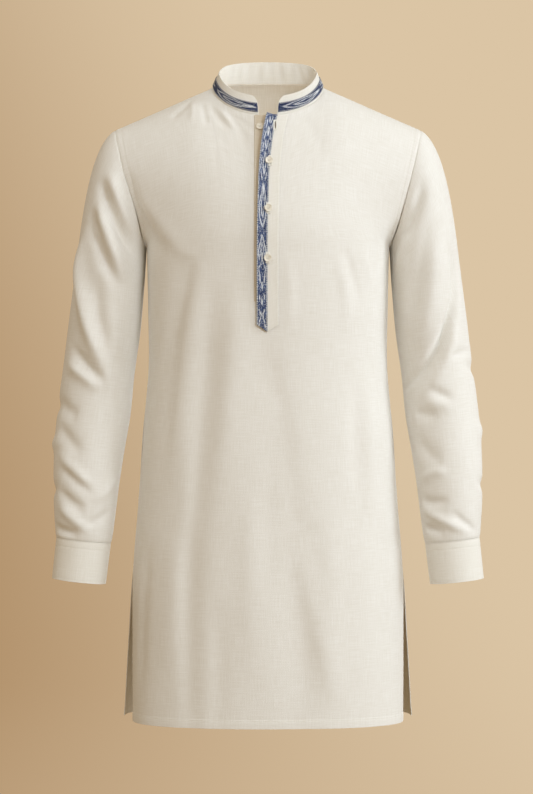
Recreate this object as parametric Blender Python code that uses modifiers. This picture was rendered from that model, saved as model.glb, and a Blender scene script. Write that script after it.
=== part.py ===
"""Kurta tunic, filled out and empty: front, back, set-in sleeves, cuffs, band collar and half placket.

Metres, +Z up.  The front faces -Y and the wearer's left is +X.  The origin is the middle of the neck
opening, level with the points where the shoulder seams meet the collar.
"""
import math

import bmesh
import bpy
import numpy as np
from mathutils import Vector

# ---------------------------------------------------------------- driving dimensions
CLOTH = 0.0012              # wall of the shell cloth
RIBBON = 0.0010             # wall of the woven trim and the plackets
GAP = 0.0003                # clear space between pieces that lie on each other
PANEL_GAP = 0.0010          # front to back on the outside of their seams, less inside where they lean in
SEAM = 0.0012               # clear space where walls meet at an angle

HALF_ROUND = 0.270          # from a panel's centre to its side seam, round the body

HEM_Z = -0.978
SLIT_TOP_Z = -0.744
PIT_Z = -0.246              # underarm point
PIT_X = 0.188
TIP_X = 0.2365              # shoulder tip, top of the armhole
TIP_Y = -0.012              # the shoulder seam lies a little in front of the crest
TIP_Z = -0.066
ARMHOLE_FRONT = 0.056       # how far the armhole swings forward of the underarm point
ARMHOLE_BACK = 0.058
ARMHOLE_BOW = 0.8           # power that bows the armhole outwards

NECK_HALF = 0.086           # neckline, half width at the shoulder seams
NECK_Y = -0.015
NECK_REACH = 0.060          # from NECK_Y to the centre front and to the centre back
NECK_DROP = 0.050           # centre front below the shoulder seam
NECK_RISE = 0.0135          # centre back above it
NECK_BLUNT = 0.7            # how much squarer than an ellipse its back is
NECK_SPAN = 0.33            # share of a panel's half width that ends on the neckline

SECTION_POWER = 2.35        # 2 is an ellipse, more is squarer
BACK_FLARE = 0.0165         # the back panel's spread beyond the front at the hem
SLIT_FRONT_Y = -0.020       # where the slit's edges hang at the hem
SLIT_BACK_Y = 0.028

POCKET_TOP_Z = -0.470       # mouths of the pockets in the side seams
POCKET_LOW_Z = -0.632
POCKET_GAPE = 0.0035        # how far the front's edge stands off there

SLOT_HALF = 0.012           # slot that is cut in the front and bound by the plackets
SLOT_END_Z = -0.335
PLACKET_HALF = 0.0163
PLACKET_SIDE_END_Z = -0.370
PLACKET_POINT_Z = -0.381
PLACKET_TOP_Z = -0.0500
PLACKET_STAND_FROM = 0.35   # share of its half width from which its free edge stands off
UNDER_PLACKET = (-0.0207, 0.0120)   # its two edges

BAND_SEAM = 0.0015          # the band's lower edge above the neckline
BAND_TOP_HALF = 0.0765      # its upper edge, half width
BAND_TOP_Y = -0.0135
BAND_TOP_REACH = 0.054
BAND_TOP_Z = 0.0225         # the upper edge's height at the sides
BAND_TOP_RISE = 0.0250      # how much higher it is at the centre back
BAND_TOP_DROP = 0.0425      # how much lower it would be at the centre front
BAND_BLUNT = (1.2, 2.0)     # how much squarer than an ellipse its front and its back are
BAND_END_X = 0.0145         # where the band's front ends stand, each side of the centre
BAND_ROUND = 0.0120         # how far their upper corners are rounded back
BAND_ROUND_FROM = 0.30      # share of the height where the rounding starts
BAND_TRIM = (0.13, 0.62)    # shares of the height that the ribbon covers

CUFF_TOP_Z = -0.699
CUFF_BOTTOM_Z = -0.7617
SLEEVE_RING_Z = -0.300      # biceps, where the sleeve head ends

BUTTON_RADIUS = 0.00575
BUTTON_THICK = 0.0026
BUTTON_HOLE_RADIUS = 0.0007
BUTTON_HOLE_REACH = 0.0016

# Body, from the hem to the underarm.
# z, half width at the side seam, depth to the centre front, depth to the centre back
BODY = (
    (HEM_Z, 0.2085, 0.127, 0.134),
    (-0.860, 0.2095, 0.126, 0.132),
    (SLIT_TOP_Z, 0.2090, 0.124, 0.130),
    (-0.640, 0.2010, 0.121, 0.126),
    (-0.532, 0.1945, 0.118, 0.115),
    (-0.440, 0.1855, 0.118, 0.107),
    (-0.340, 0.1860, 0.124, 0.113),
    (PIT_Z, PIT_X, 0.130, 0.122),
)

# Sleeve, from the cuff seam to the biceps.  The rings stand square to the sleeve, which leans outwards.
# z, x of the middle, y of the middle, half width, half depth, lean
SLEEVE = (
    (CUFF_TOP_Z, 0.2840, -0.034, 0.0428, 0.0365, 0.11),
    (-0.688, 0.2835, -0.033, 0.0442, 0.0388, 0.10),
    (-0.655, 0.2825, -0.030, 0.0475, 0.0430, 0.08),
    (-0.610, 0.2805, -0.025, 0.0508, 0.0470, 0.07),
    (-0.560, 0.2765, -0.018, 0.0540, 0.0500, 0.09),
    (-0.500, 0.2695, -0.009, 0.0565, 0.0530, 0.11),
    (-0.440, 0.2630, -0.002, 0.0555, 0.0570, 0.12),
    (-0.370, 0.2540, 0.000, 0.0560, 0.0620, 0.13),
    (SLEEVE_RING_Z, 0.2465, 0.000, 0.0545, 0.0660, 0.10),
)

# Cuff, bottom and top, with the same columns.
CUFF = (
    (CUFF_BOTTOM_Z, 0.2907, -0.040, 0.0416, 0.0352, 0.11),
    (CUFF_TOP_Z, 0.2840, -0.034, 0.0422, 0.0358, 0.11),
)

# Centre line of the upper placket: it leans to the wearer's left where it is undone.
# z, x
PLACKET_LINE = (
    (PLACKET_POINT_Z, -0.0008),
    (-0.330, -0.0008),
    (-0.188, 0.0004),
    (-0.117, 0.0036),
    (-0.067, 0.0106),
    (PLACKET_TOP_Z, 0.0146),
)

# How far its free edge stands off, more where it is undone.
# z, height
PLACKET_STAND = (
    (-0.345, 0.0),
    (-0.300, 0.0030),
    (-0.140, 0.0032),
    (-0.060, 0.0060),
)

# Largest folds, as soft ridges (+) and troughs (-).
# piece, s and z of one end, s and z of the other, half width, height
# On a panel s is measured round from the centre, and on a sleeve from its inner side, the front first.
FOLDS = (
    ("front", -0.250, -0.140, -0.160, -0.262, 0.022, -0.0040),
    ("front", -0.124, -0.262, -0.180, -0.450, 0.018, -0.0035),
    ("front", -0.108, -0.262, -0.146, -0.640, 0.022, 0.0045),
    ("front", -0.084, -0.300, -0.116, -0.830, 0.022, -0.0045),
    ("front", -0.045, -0.290, -0.072, -0.640, 0.026, 0.0030),
    ("front", 0.040, -0.600, 0.052, HEM_Z, 0.030, -0.0050),
    ("front", 0.165, -0.440, 0.160, -0.700, 0.024, 0.0030),
    ("front", -0.116, -0.660, -0.117, HEM_Z, 0.022, -0.0035),
    ("back", -0.240, -0.150, -0.150, -0.275, 0.024, -0.0038),
    ("back", 0.245, -0.150, 0.140, -0.285, 0.024, -0.0040),
    ("back", -0.115, -0.262, -0.132, -0.660, 0.022, 0.0045),
    ("back", -0.080, -0.330, -0.094, -0.840, 0.024, -0.0045),
    ("back", 0.084, -0.300, 0.075, -0.800, 0.022, -0.0045),
    ("back", 0.010, -0.240, 0.012, -0.660, 0.030, 0.0040),
    ("back", 0.044, -0.560, 0.040, HEM_Z, 0.026, -0.0050),
    ("back", -0.040, -0.520, -0.040, HEM_Z, 0.026, 0.0040),
    ("left sleeve", 0.117, -0.240, 0.114, -0.380, 0.018, -0.0045),
    ("left sleeve", 0.112, -0.345, 0.020, -0.480, 0.018, -0.0050),
    ("left sleeve", 0.088, -0.240, 0.060, -0.410, 0.020, 0.0035),
    ("left sleeve", 0.300, -0.410, 0.205, -0.464, 0.018, -0.0045),
    ("left sleeve", 0.030, -0.650, 0.125, -0.686, 0.015, 0.0030),
    ("right sleeve", 0.120, -0.150, 0.038, -0.275, 0.018, -0.0045),
    ("right sleeve", 0.125, -0.220, 0.122, -0.380, 0.018, 0.0045),
    ("right sleeve", 0.120, -0.345, 0.044, -0.490, 0.018, 0.0045),
    ("right sleeve", 0.300, -0.400, 0.205, -0.470, 0.018, -0.0045),
    ("right sleeve", 0.130, -0.620, 0.075, -0.652, 0.015, -0.0030),
)

# The buttons: the first is undone, on the under placket.
# x, z
BUTTONS = (
    (-0.0122, -0.0690),
    (0.0018, -0.1236),
    (0.0008, -0.1962),
    (-0.0002, -0.2700),
)

SLEEVE_ROUND = 0.055        # a sleeve's mean radius, for the lengths round it

LINEN = (0.83, 0.78, 0.69)
INDIGO = (0.10, 0.15, 0.32)
SHELL = (0.86, 0.80, 0.68)


# ---------------------------------------------------------------- shape of the cloth
def hermite(start, start_pull, end, end_pull, t):
    """Cubic from start to end; the pulls are its first derivatives there."""
    return (start * (2 * t**3 - 3 * t**2 + 1) + start_pull * (t**3 - 2 * t**2 + t)
            + end * (3 * t**2 - 2 * t**3) + end_pull * (t**3 - t**2))


def read(table, column, at):
    """A column of a table at the heights given, on a smooth curve through its rows."""
    rows = np.array(table)
    z, value = rows[:, 0], rows[:, column]
    slope = np.gradient(value, z)
    k = np.clip(np.searchsorted(z, at) - 1, 0, len(z) - 2)
    step = z[k + 1] - z[k]
    return hermite(value[k], slope[k] * step, value[k + 1], slope[k + 1] * step, (at - z[k]) / step)


def stack(x, y, z):
    return np.stack(np.broadcast_arrays(x, y, z), axis=-1)


def section_arc():
    """Angles from a section's centre to its side, and the share of the way round at each."""
    angle = np.linspace(0.0, math.pi / 2, 400)
    x = PIT_X * np.sin(angle) ** (2 / SECTION_POWER)
    y = BODY[-1][2] * np.cos(angle) ** (2 / SECTION_POWER)
    arc = np.concatenate(([0.0], np.cumsum(np.hypot(np.diff(x), np.diff(y)))))
    return angle, arc / arc[-1]


ANGLE, SHARE = section_arc()


def blunt(c, how_much):
    """A cosine made squarer, still from -1 to 1."""
    return c * (1 + how_much) / (1 + how_much * np.abs(c))


def body_point(u, z, side):
    """Point of the body below the underarm; u runs from -1 to 1 between the side seams."""
    slit = np.clip((SLIT_TOP_Z - z) / (SLIT_TOP_Z - HEM_Z), 0.0, 1.0)
    width = read(BODY, 1, z)
    angle = np.interp(np.abs(u), SHARE, ANGLE)
    across = np.sin(angle) ** (2 / SECTION_POWER)
    forward = np.abs(np.cos(angle)) ** (2 / SECTION_POWER)
    if side == "front":
        pocket = np.clip((z - POCKET_LOW_Z) / (POCKET_TOP_Z - POCKET_LOW_Z), 0.0, 1.0)
        pocket = POCKET_GAPE * np.sin(math.pi * pocket) ** 2
        width = width - pocket * np.abs(u) ** 8
        edge = SLIT_FRONT_Y * slit - pocket
        depth = -read(BODY, 2, z)
    else:
        width = width + BACK_FLARE * slit
        edge = SLIT_BACK_Y * slit
        depth = read(BODY, 3, z)
    return stack(np.sign(u) * width * across, edge + (depth - edge) * forward, z)


def armhole(phi):
    """The armhole seam of the +X side: 0 is the underarm, pi the shoulder tip, and the front comes first."""
    rise = (1 - np.cos(phi)) / 2
    reach = np.where(phi <= math.pi, ARMHOLE_FRONT, ARMHOLE_BACK)
    return stack(PIT_X + (TIP_X - PIT_X) * rise**ARMHOLE_BOW, TIP_Y * rise - reach * np.sin(phi),
                 PIT_Z + (TIP_Z - PIT_Z) * rise)


def neck_point(theta):
    """The neckline: 0 is the centre front, pi/2 the +X shoulder seam and pi the centre back."""
    c = np.cos(theta)
    c = np.where(c < 0, blunt(c, NECK_BLUNT), c)
    z = NECK_RISE * np.maximum(-c, 0) - NECK_DROP * np.maximum(c, 0) ** 1.08
    return stack(NECK_HALF * np.sin(theta), NECK_Y - NECK_REACH * c, z)


def top_edge(u, side):
    """Where a panel's columns end: on the neckline, then along the shoulder seam."""
    share = np.clip(np.abs(u) / NECK_SPAN, 0.0, 1.0)
    theta = share * math.pi / 2
    neck = neck_point(theta if side == "front" else math.pi - theta)
    along = np.clip((np.abs(u) - NECK_SPAN) / (1 - NECK_SPAN), 0.0, None)[..., None]
    point = neck + along * (np.array((TIP_X, TIP_Y, TIP_Z)) - neck_point(np.array(math.pi / 2)))
    point[..., 0] *= np.where(u < 0, -1, 1)
    return point


def soft_top_edge(u, side):
    """The top edge with its corner at the collar rounded off, which the cloth below follows."""
    total = 0.0
    for step, weight in ((-0.16, 0.12), (-0.08, 0.22), (0.0, 0.32), (0.08, 0.22), (0.16, 0.12)):
        total = total + weight * top_edge(u + step, side)
    return total


def yoke_point(u, t, side):
    """Point of a panel between the underarm level, t = 0, and its top edge, t = 1."""
    if side == "front":
        centre_pull, shoulder_pull = (0.0, 0.090, 0.160), (0.0, 0.230, 0.085)
        seam = armhole(math.pi * t)
        depth = BODY[-1][2]
    else:
        centre_pull, shoulder_pull = (0.0, -0.180, 0.100), (0.0, -0.240, -0.030)
        seam = armhole(math.pi * (2 - t))
        depth = BODY[-1][3]
    forward = np.clip(np.abs(seam[..., 1]) / depth, 0, 1)
    room = np.interp(np.arccos(forward ** (SECTION_POWER / 2)), ANGLE, SHARE)

    def column(at):
        start = body_point(at * room, np.full_like(at, PIT_Z), side)
        below = body_point(at * room, np.full_like(at, PIT_Z - 0.004), side)
        end = soft_top_edge(at, side)
        mix = np.clip(np.abs(at) / (1.6 * NECK_SPAN), 0, 1)[..., None]
        mix = mix**2 * (3 - 2 * mix)
        pull = np.array(centre_pull) * (1 - mix) + np.array(shoulder_pull) * mix
        rise = (start - below) / 0.004 * (end[..., 2:] - PIT_Z)
        return hermite(start, rise, end, pull, t[..., None]) + (top_edge(at, side) - end) * t[..., None] ** 5

    sway = seam - column(np.ones_like(u))
    sway[..., 0] *= np.where(u < 0, -1, 1)
    return column(u) + (u**2)[..., None] * sway


def smooth_panel(u, v, side):
    """Point of a panel without folds; v runs 0 to 1 from hem to underarm, and 1 to 2 to the top edge."""
    low = body_point(u, HEM_Z + (PIT_Z - HEM_Z) * np.clip(v, 0, 1), side)
    apart = np.array((0.0, PANEL_GAP / 2, 0.0)) * (-1 if side == "front" else 1)
    return np.where((v <= 1)[..., None], low, yoke_point(u, np.clip(v - 1, 0, 1), side)) + apart


def panel_normal(u, v, side):
    """Outward normal of the panel without folds, by differences."""
    d = 0.004
    across = smooth_panel(np.clip(u + d, -1, 1), v, side) - smooth_panel(np.clip(u - d, -1, 1), v, side)
    up = smooth_panel(u, np.clip(v + d, 0, 2), side) - smooth_panel(u, np.clip(v - d, 0, 2), side)
    normal = np.cross(across, up) * (1 if side == "front" else -1)
    return normal / np.linalg.norm(normal, axis=-1, keepdims=True)


def fold_height(s, z, piece):
    """Height of the folds at points of a panel or a sleeve."""
    total = np.zeros_like(z)
    for name, s0, z0, s1, z1, half_width, height in FOLDS:
        if name != piece:
            continue
        run, fall = s1 - s0, z1 - z0
        along = np.clip(((s - s0) * run + (z - z0) * fall) / (run**2 + fall**2), 0, 1)
        off = ((s - s0) * fall - (z - z0) * run) / math.hypot(run, fall)
        fade = np.sin(math.pi / 2 * along) if z1 == HEM_Z else np.sin(math.pi * along) ** 0.7
        total += height * fade * np.exp(-(off / half_width) ** 2)
    return total


def panel_point(u, v, side):
    """Point of the front or the back, with its folds."""
    u, v = np.broadcast_arrays(np.asarray(u, float), np.asarray(v, float))
    point = smooth_panel(u, v, side)
    return point + panel_normal(u, v, side) * fold_height(u * HALF_ROUND, point[..., 2], side)[..., None]


def on_front(x, z, lift=0.0):
    """Point of the front above (x, z), lifted off it."""
    x, z = np.broadcast_arrays(np.asarray(x, float), np.asarray(z, float))
    u, v = x / HALF_ROUND, np.where(z < PIT_Z, (z - HEM_Z) / (PIT_Z - HEM_Z), 1 + (z - PIT_Z) / 0.2)
    for _ in range(12):
        here = panel_point(u, v, "front")
        du = (panel_point(u + 0.002, v, "front") - here) / 0.002
        dv = (panel_point(u, v - 0.002, "front") - here) / -0.002
        miss_x, miss_z = x - here[..., 0], z - here[..., 2]
        det = du[..., 0] * dv[..., 2] - dv[..., 0] * du[..., 2]
        u = u + (miss_x * dv[..., 2] - miss_z * dv[..., 0]) / det
        v = np.clip(v + (miss_z * du[..., 0] - miss_x * du[..., 2]) / det, 0.0, 2.0)
    return panel_point(u, v, "front") + panel_normal(u, v, "front") * np.asarray(lift, float)[..., None]


def band_point(s, h, lift=0.0, inset=0.0):
    """Point of the collar band: s runs 0 to 1 from the +X front end round the back, h 0 to 1 up it."""
    past = np.clip((h - BAND_ROUND_FROM) / (1 - BAND_ROUND_FROM), 0.0, 1.0)
    end = BAND_END_X + inset + BAND_ROUND * (1 - np.sqrt(1 - 0.999 * past**2))
    first = np.arcsin(end / (NECK_HALF + (BAND_TOP_HALF - NECK_HALF) * h))

    def edges(theta):
        c = np.cos(theta)
        c = np.where(c > 0, blunt(c, BAND_BLUNT[0]), blunt(c, BAND_BLUNT[1]))
        low = neck_point(theta) + np.array((0.0, 0.0, BAND_SEAM))
        z = BAND_TOP_Z + BAND_TOP_RISE * np.maximum(-c, 0) ** 1.4 - BAND_TOP_DROP * np.maximum(c, 0) ** 1.9
        high = stack(BAND_TOP_HALF * np.sin(theta), BAND_TOP_Y - BAND_TOP_REACH * c, z)
        return low, high

    def point(theta):
        low, high = edges(theta)
        return low + (high - low) * h[..., None]

    theta = first + s * (2 * math.pi - 2 * first)
    low, high = edges(theta)
    normal = np.cross(point(theta + 0.01) - point(theta - 0.01), high - low)
    return point(theta) + normal / np.linalg.norm(normal, axis=-1, keepdims=True) * lift


def ring_point(table, phi, z):
    """Point of a sleeve's or a cuff's ring: phi is 0 at the inner side and pi at the outer."""
    x, y, half_width, half_depth, lean = (read(table, column, z) for column in range(1, 6))
    across = -np.cos(phi) * half_width / np.hypot(1, lean)
    return stack(x + across, y - np.sin(phi) * half_depth, z + across * lean)


def sleeve_point(phi, w):
    """Point of the +X sleeve: w runs 0 to 1 over the head and 1 to 2 from the biceps to the cuff."""
    phi, w = np.broadcast_arrays(np.asarray(phi, float), np.asarray(w, float))
    low = ring_point(SLEEVE, phi, SLEEVE_RING_Z + (CUFF_TOP_Z + GAP - SLEEVE_RING_Z) * np.clip(w - 1, 0, 1))
    top = (1 - np.cos(phi)) / 2
    leave = stack(0.10 + 0.77 * top, -0.22 * np.sin(phi), -0.98 + 0.48 * top)
    leave /= np.linalg.norm(leave, axis=-1, keepdims=True)
    clear = leave + stack(1.2 * (1 - top), 0.0, 0.0)
    start = armhole(phi) + SEAM * clear / np.linalg.norm(clear, axis=-1, keepdims=True)
    ring = np.full_like(phi, SLEEVE_RING_Z)
    end = ring_point(SLEEVE, phi, ring)
    arrive = ring_point(SLEEVE, phi, ring - 0.01) - end
    arrive /= np.linalg.norm(arrive, axis=-1, keepdims=True)
    length = np.linalg.norm(end - start, axis=-1, keepdims=True)
    head = hermite(start, leave * length * 0.60, end, arrive * length * 1.04, np.clip(w, 0, 1)[..., None])
    return np.where((w <= 1)[..., None], head, low)


def folded_sleeve(phi, w, piece):
    """Points of a sleeve with its folds, on the +X side whichever sleeve it is."""
    point = sleeve_point(phi, w)
    around = sleeve_point(phi + 0.01, w) - sleeve_point(phi - 0.01, w)
    down = sleeve_point(phi, np.clip(w + 0.01, 0, 2)) - sleeve_point(phi, np.clip(w - 0.01, 0, 2))
    normal = np.cross(down, around)
    normal /= np.linalg.norm(normal, axis=-1, keepdims=True)
    return point + normal * fold_height(phi * SLEEVE_ROUND, point[..., 2], piece)[..., None]


def placket_middle(z):
    return read(PLACKET_LINE, 1, z)


def placket_point(k, r, lift):
    """Point of the upper placket: k runs -1 to 1 across it, r 0 to 1 from its pointed end to its top."""
    end = PLACKET_POINT_Z + np.abs(k) * (PLACKET_SIDE_END_Z - PLACKET_POINT_Z)
    z = end + r * (PLACKET_TOP_Z - end)
    share = np.clip((-k - PLACKET_STAND_FROM) / (1 - PLACKET_STAND_FROM), 0, 1) ** 1.6
    stand = share * np.interp(z, *np.array(PLACKET_STAND).T)
    return on_front(placket_middle(z) + k * PLACKET_HALF, z, lift + stand)


# ---------------------------------------------------------------- solids
def material(name, colour, roughness):
    made = bpy.data.materials.new(name)
    made.use_nodes = True
    shader = made.node_tree.nodes["Principled BSDF"]
    shader.inputs["Base Color"].default_value = (*colour, 1.0)
    shader.inputs["Roughness"].default_value = roughness
    shader.inputs["Metallic"].default_value = 0.0
    return made


def sheet(name, points, wall, outwards, finish, closed=False, left_out=()):
    """A cloth wall on a grid of points, rows by columns, whose outer side faces the right-hand normal."""
    rows, columns = points.shape[:2]
    mesh = bpy.data.meshes.new(name)
    shape = bmesh.new()
    verts = [shape.verts.new(p) for p in points.reshape(-1, 3)]
    last = columns if closed else columns - 1
    for r in range(rows - 1):
        for c in range(last):
            if (r, c) in left_out:
                continue
            d = (c + 1) % columns
            corners = (r * columns + c, r * columns + d, (r + 1) * columns + d, (r + 1) * columns + c)
            shape.faces.new([verts[i] for i in corners])
    loose = [v for v in shape.verts if not v.link_faces]
    bmesh.ops.delete(shape, geom=loose, context="VERTS")
    shape.to_mesh(mesh)
    shape.free()
    mesh.materials.append(finish)
    mesh.shade_smooth()
    piece = bpy.data.objects.new(name, mesh)
    KURTA.objects.link(piece)
    solid = piece.modifiers.new("wall", "SOLIDIFY")
    solid.thickness = wall
    solid.offset = 1.0 if outwards else -1.0
    solid.use_even_offset = True
    return piece


def grid(rows, columns):
    """Two arrays that span a grid, rows by columns."""
    return np.meshgrid(rows, columns, indexing="ij")


def panel(side, finish):
    """Front or back panel; the front's columns beside the centre stand on the edges of its slot."""
    neck = np.linspace(SLOT_HALF / HALF_ROUND, NECK_SPAN, 6)
    half = np.concatenate((neck, np.linspace(NECK_SPAN, 1.0, 9)[1:]))
    u = np.concatenate((-half[::-1], half))
    if side == "back":
        u = u[::-1]
    slot_v = (SLOT_END_Z - HEM_Z) / (PIT_Z - HEM_Z)
    low = np.linspace(0, slot_v, 10)
    v = np.concatenate((low, (0.94, 1.0), np.linspace(1.0, 2.0, 9)[1:]))
    v_grid, u_grid = grid(v, u)
    slot = [(r, len(half) - 1) for r in range(len(low) - 1, len(v) - 1)] if side == "front" else ()
    return sheet(f"{side}_panel", panel_point(u_grid, v_grid, side), CLOTH, False, finish, left_out=slot)


def mirrored(points):
    """The same grid on the -X side, with its outer side still outside."""
    return (points * np.array((-1.0, 1.0, 1.0)))[:, ::-1]


def sleeves(finish):
    w, phi = grid(np.concatenate((np.linspace(2, 1, 9), np.linspace(1, 0, 7)[1:])),
                  np.linspace(0, 2 * math.pi, 24, endpoint=False))
    sheet("sleeve_left", folded_sleeve(phi, w, "left sleeve"), CLOTH, False, finish, closed=True)
    sheet("sleeve_right", mirrored(folded_sleeve(phi, w, "right sleeve")), CLOTH, False, finish, closed=True)


def cuffs(finish):
    z, phi = grid(np.linspace(CUFF_BOTTOM_Z, CUFF_TOP_Z, 3), np.linspace(0, 2 * math.pi, 24, endpoint=False))
    points = ring_point(CUFF, phi, z)
    sheet("cuff_left", points, CLOTH, False, finish, closed=True)
    sheet("cuff_right", mirrored(points), CLOTH, False, finish, closed=True)


def collar(cloth, ribbon):
    s = np.linspace(0.0, 1.0, 33)
    h, s_grid = grid(np.array((0.0, 0.35, 0.7, 0.9, 1.0)), s)
    sheet("collar_band", band_point(s_grid, h), CLOTH, False, cloth)
    h, s_grid = grid(np.array((BAND_TRIM[0], 0.35, BAND_TRIM[1])), s)
    sheet("collar_trim", band_point(s_grid, h, GAP, 0.001), RIBBON, True, ribbon)


def plackets(cloth, ribbon):
    layer = GAP + RIBBON
    z, x = grid(np.linspace(SLOT_END_Z, PLACKET_TOP_Z, 22), np.linspace(*UNDER_PLACKET, 4))
    sheet("under_placket", on_front(x, z, GAP), RIBBON, True, cloth)
    r, k = grid(np.linspace(0, 1, 24), np.linspace(-1, 1, 5))
    sheet("upper_placket", placket_point(k, r, layer + GAP), RIBBON, True, cloth)
    r, k = grid(np.linspace(0, 1, 24), np.linspace(-1, 0, 3))
    sheet("placket_trim", placket_point(k, r, 2 * layer + GAP), RIBBON, True, ribbon)


def button_mesh(finish):
    """A dished button, turned, with four holes."""
    r, t = BUTTON_RADIUS, BUTTON_THICK
    profile = ((0, t * 0.75), (r * 0.6, t * 0.78), (r * 0.72, t), (r * 0.9, t), (r, t * 0.7),
               (r, t * 0.3), (r * 0.84, 0), (0, 0))
    outline = bpy.data.meshes.new("button profile")
    outline.from_pydata([(x, 0, z) for x, z in profile], [(i, i + 1) for i in range(len(profile) - 1)], [])
    blank = bpy.data.objects.new("button blank", outline)
    TOOLS.objects.link(blank)
    turn = blank.modifiers.new("turn", "SCREW")
    turn.steps = turn.render_steps = 20
    turn.use_merge_vertices = True
    turn.merge_threshold = 0.00001
    drill = bmesh.new()
    for quarter in range(4):
        angle = math.pi / 4 + quarter * math.pi / 2
        made = bmesh.ops.create_cone(drill, cap_ends=True, segments=6, radius1=BUTTON_HOLE_RADIUS,
                                     radius2=BUTTON_HOLE_RADIUS, depth=4 * t)
        place = Vector((math.cos(angle), math.sin(angle), 0)) * BUTTON_HOLE_REACH
        bmesh.ops.translate(drill, verts=made["verts"], vec=place)
    holes = bpy.data.meshes.new("button holes")
    drill.to_mesh(holes)
    drill.free()
    cutter = bpy.data.objects.new("button holes", holes)
    TOOLS.objects.link(cutter)
    cut = blank.modifiers.new("holes", "BOOLEAN")
    cut.operation = "DIFFERENCE"
    cut.object = cutter
    bpy.context.view_layer.update()
    finished = bpy.data.meshes.new_from_object(blank.evaluated_get(bpy.context.evaluated_depsgraph_get()))
    finished.materials.clear()
    finished.materials.append(finish)
    for spent in (blank, cutter):
        bpy.data.objects.remove(spent)
    return finished


def buttons(finish):
    mesh = button_mesh(finish)
    layer = GAP + RIBBON
    for number, (x, z) in enumerate(BUTTONS):
        lift = (layer if number == 0 else 3 * layer) + GAP
        seat = Vector(on_front(x, z, lift))
        out = seat - Vector(on_front(x, z, 0.0))
        piece = bpy.data.objects.new(f"button_{number + 1}", mesh)
        piece.location = seat
        piece.rotation_euler = out.to_track_quat("Z", "Y").to_euler()
        KURTA.objects.link(piece)


# ---------------------------------------------------------------- the kurta
for old in list(bpy.data.objects):
    bpy.data.objects.remove(old, do_unlink=True)

KURTA = bpy.data.collections.new("kurta_tunic")
TOOLS = bpy.data.collections.new("cutters")
for group in (KURTA, TOOLS):
    bpy.context.scene.collection.children.link(group)

linen = material("slub linen", LINEN, 0.85)
ikat = material("ikat ribbon", INDIGO, 0.75)
for side in ("front", "back"):
    panel(side, linen)
sleeves(linen)
cuffs(linen)
collar(linen, ikat)
plackets(linen, ikat)
buttons(material("shell", SHELL, 0.35))
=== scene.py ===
# %% [markdown]
# # A kurta tunic in slub linen
# A kurta is a long shirt that is pulled on over the head. Its front is slashed from the neck to the
# chest, and two strips of cloth, the plackets, bind the slash and button over each other. A
# stand-up band finishes the neck. This notebook dresses the CAD model: each cloth solid is replaced
# by a thin shell on the same form, with the creases, the sewing and the weave that the solid leaves
# out. Lengths are in metres, +Z is up, the front faces -Y and +X is the wearer's left. The origin
# is the middle of the neck opening.

# %% The CAD frame
import math

import bpy
import numpy as np
from mathutils import Matrix, Vector


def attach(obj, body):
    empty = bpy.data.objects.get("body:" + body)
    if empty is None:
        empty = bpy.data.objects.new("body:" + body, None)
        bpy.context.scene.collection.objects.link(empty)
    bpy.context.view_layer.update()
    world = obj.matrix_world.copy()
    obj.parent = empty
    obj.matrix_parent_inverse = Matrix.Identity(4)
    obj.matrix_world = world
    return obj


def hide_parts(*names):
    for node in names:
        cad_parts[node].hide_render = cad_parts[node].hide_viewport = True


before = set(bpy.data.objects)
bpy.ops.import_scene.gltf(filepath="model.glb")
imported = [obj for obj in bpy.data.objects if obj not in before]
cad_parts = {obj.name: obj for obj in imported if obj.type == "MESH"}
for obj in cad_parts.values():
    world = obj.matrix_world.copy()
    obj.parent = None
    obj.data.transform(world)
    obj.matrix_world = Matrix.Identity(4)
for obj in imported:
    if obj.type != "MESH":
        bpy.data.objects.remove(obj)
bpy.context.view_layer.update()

# %% [markdown]
# ## Camera
# A long lens from about three and a half metres keeps the tall garment free of perspective stretch,
# as clothes are usually shown. The camera stands level with the middle of the tunic.

# %% Camera
CAMERA_PLACE = (-0.00225, -3.63, -0.479)
CAMERA_LENS = 105.8             # mm, on a sensor 36 mm along the picture's longer side

camera = bpy.data.objects.new("camera", bpy.data.cameras.new("camera"))
camera.location = CAMERA_PLACE
camera.rotation_euler = (math.pi / 2, 0, 0)
camera.data.lens = CAMERA_LENS
camera.data.sensor_width = 36
camera.data.clip_end = 60
bpy.context.scene.collection.objects.link(camera)
bpy.context.scene.camera = camera
print("camera at", CAMERA_PLACE, "with a lens of", CAMERA_LENS, "mm")

# %% [markdown]
# ## Node arithmetic
# Materials here are formulas: how pale a thread is, how far a dye has run. One small class lets
# them be written as formulas. A `Value` is one output of a node, and `a * 2 + b` adds the Math
# nodes that it takes.

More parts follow.
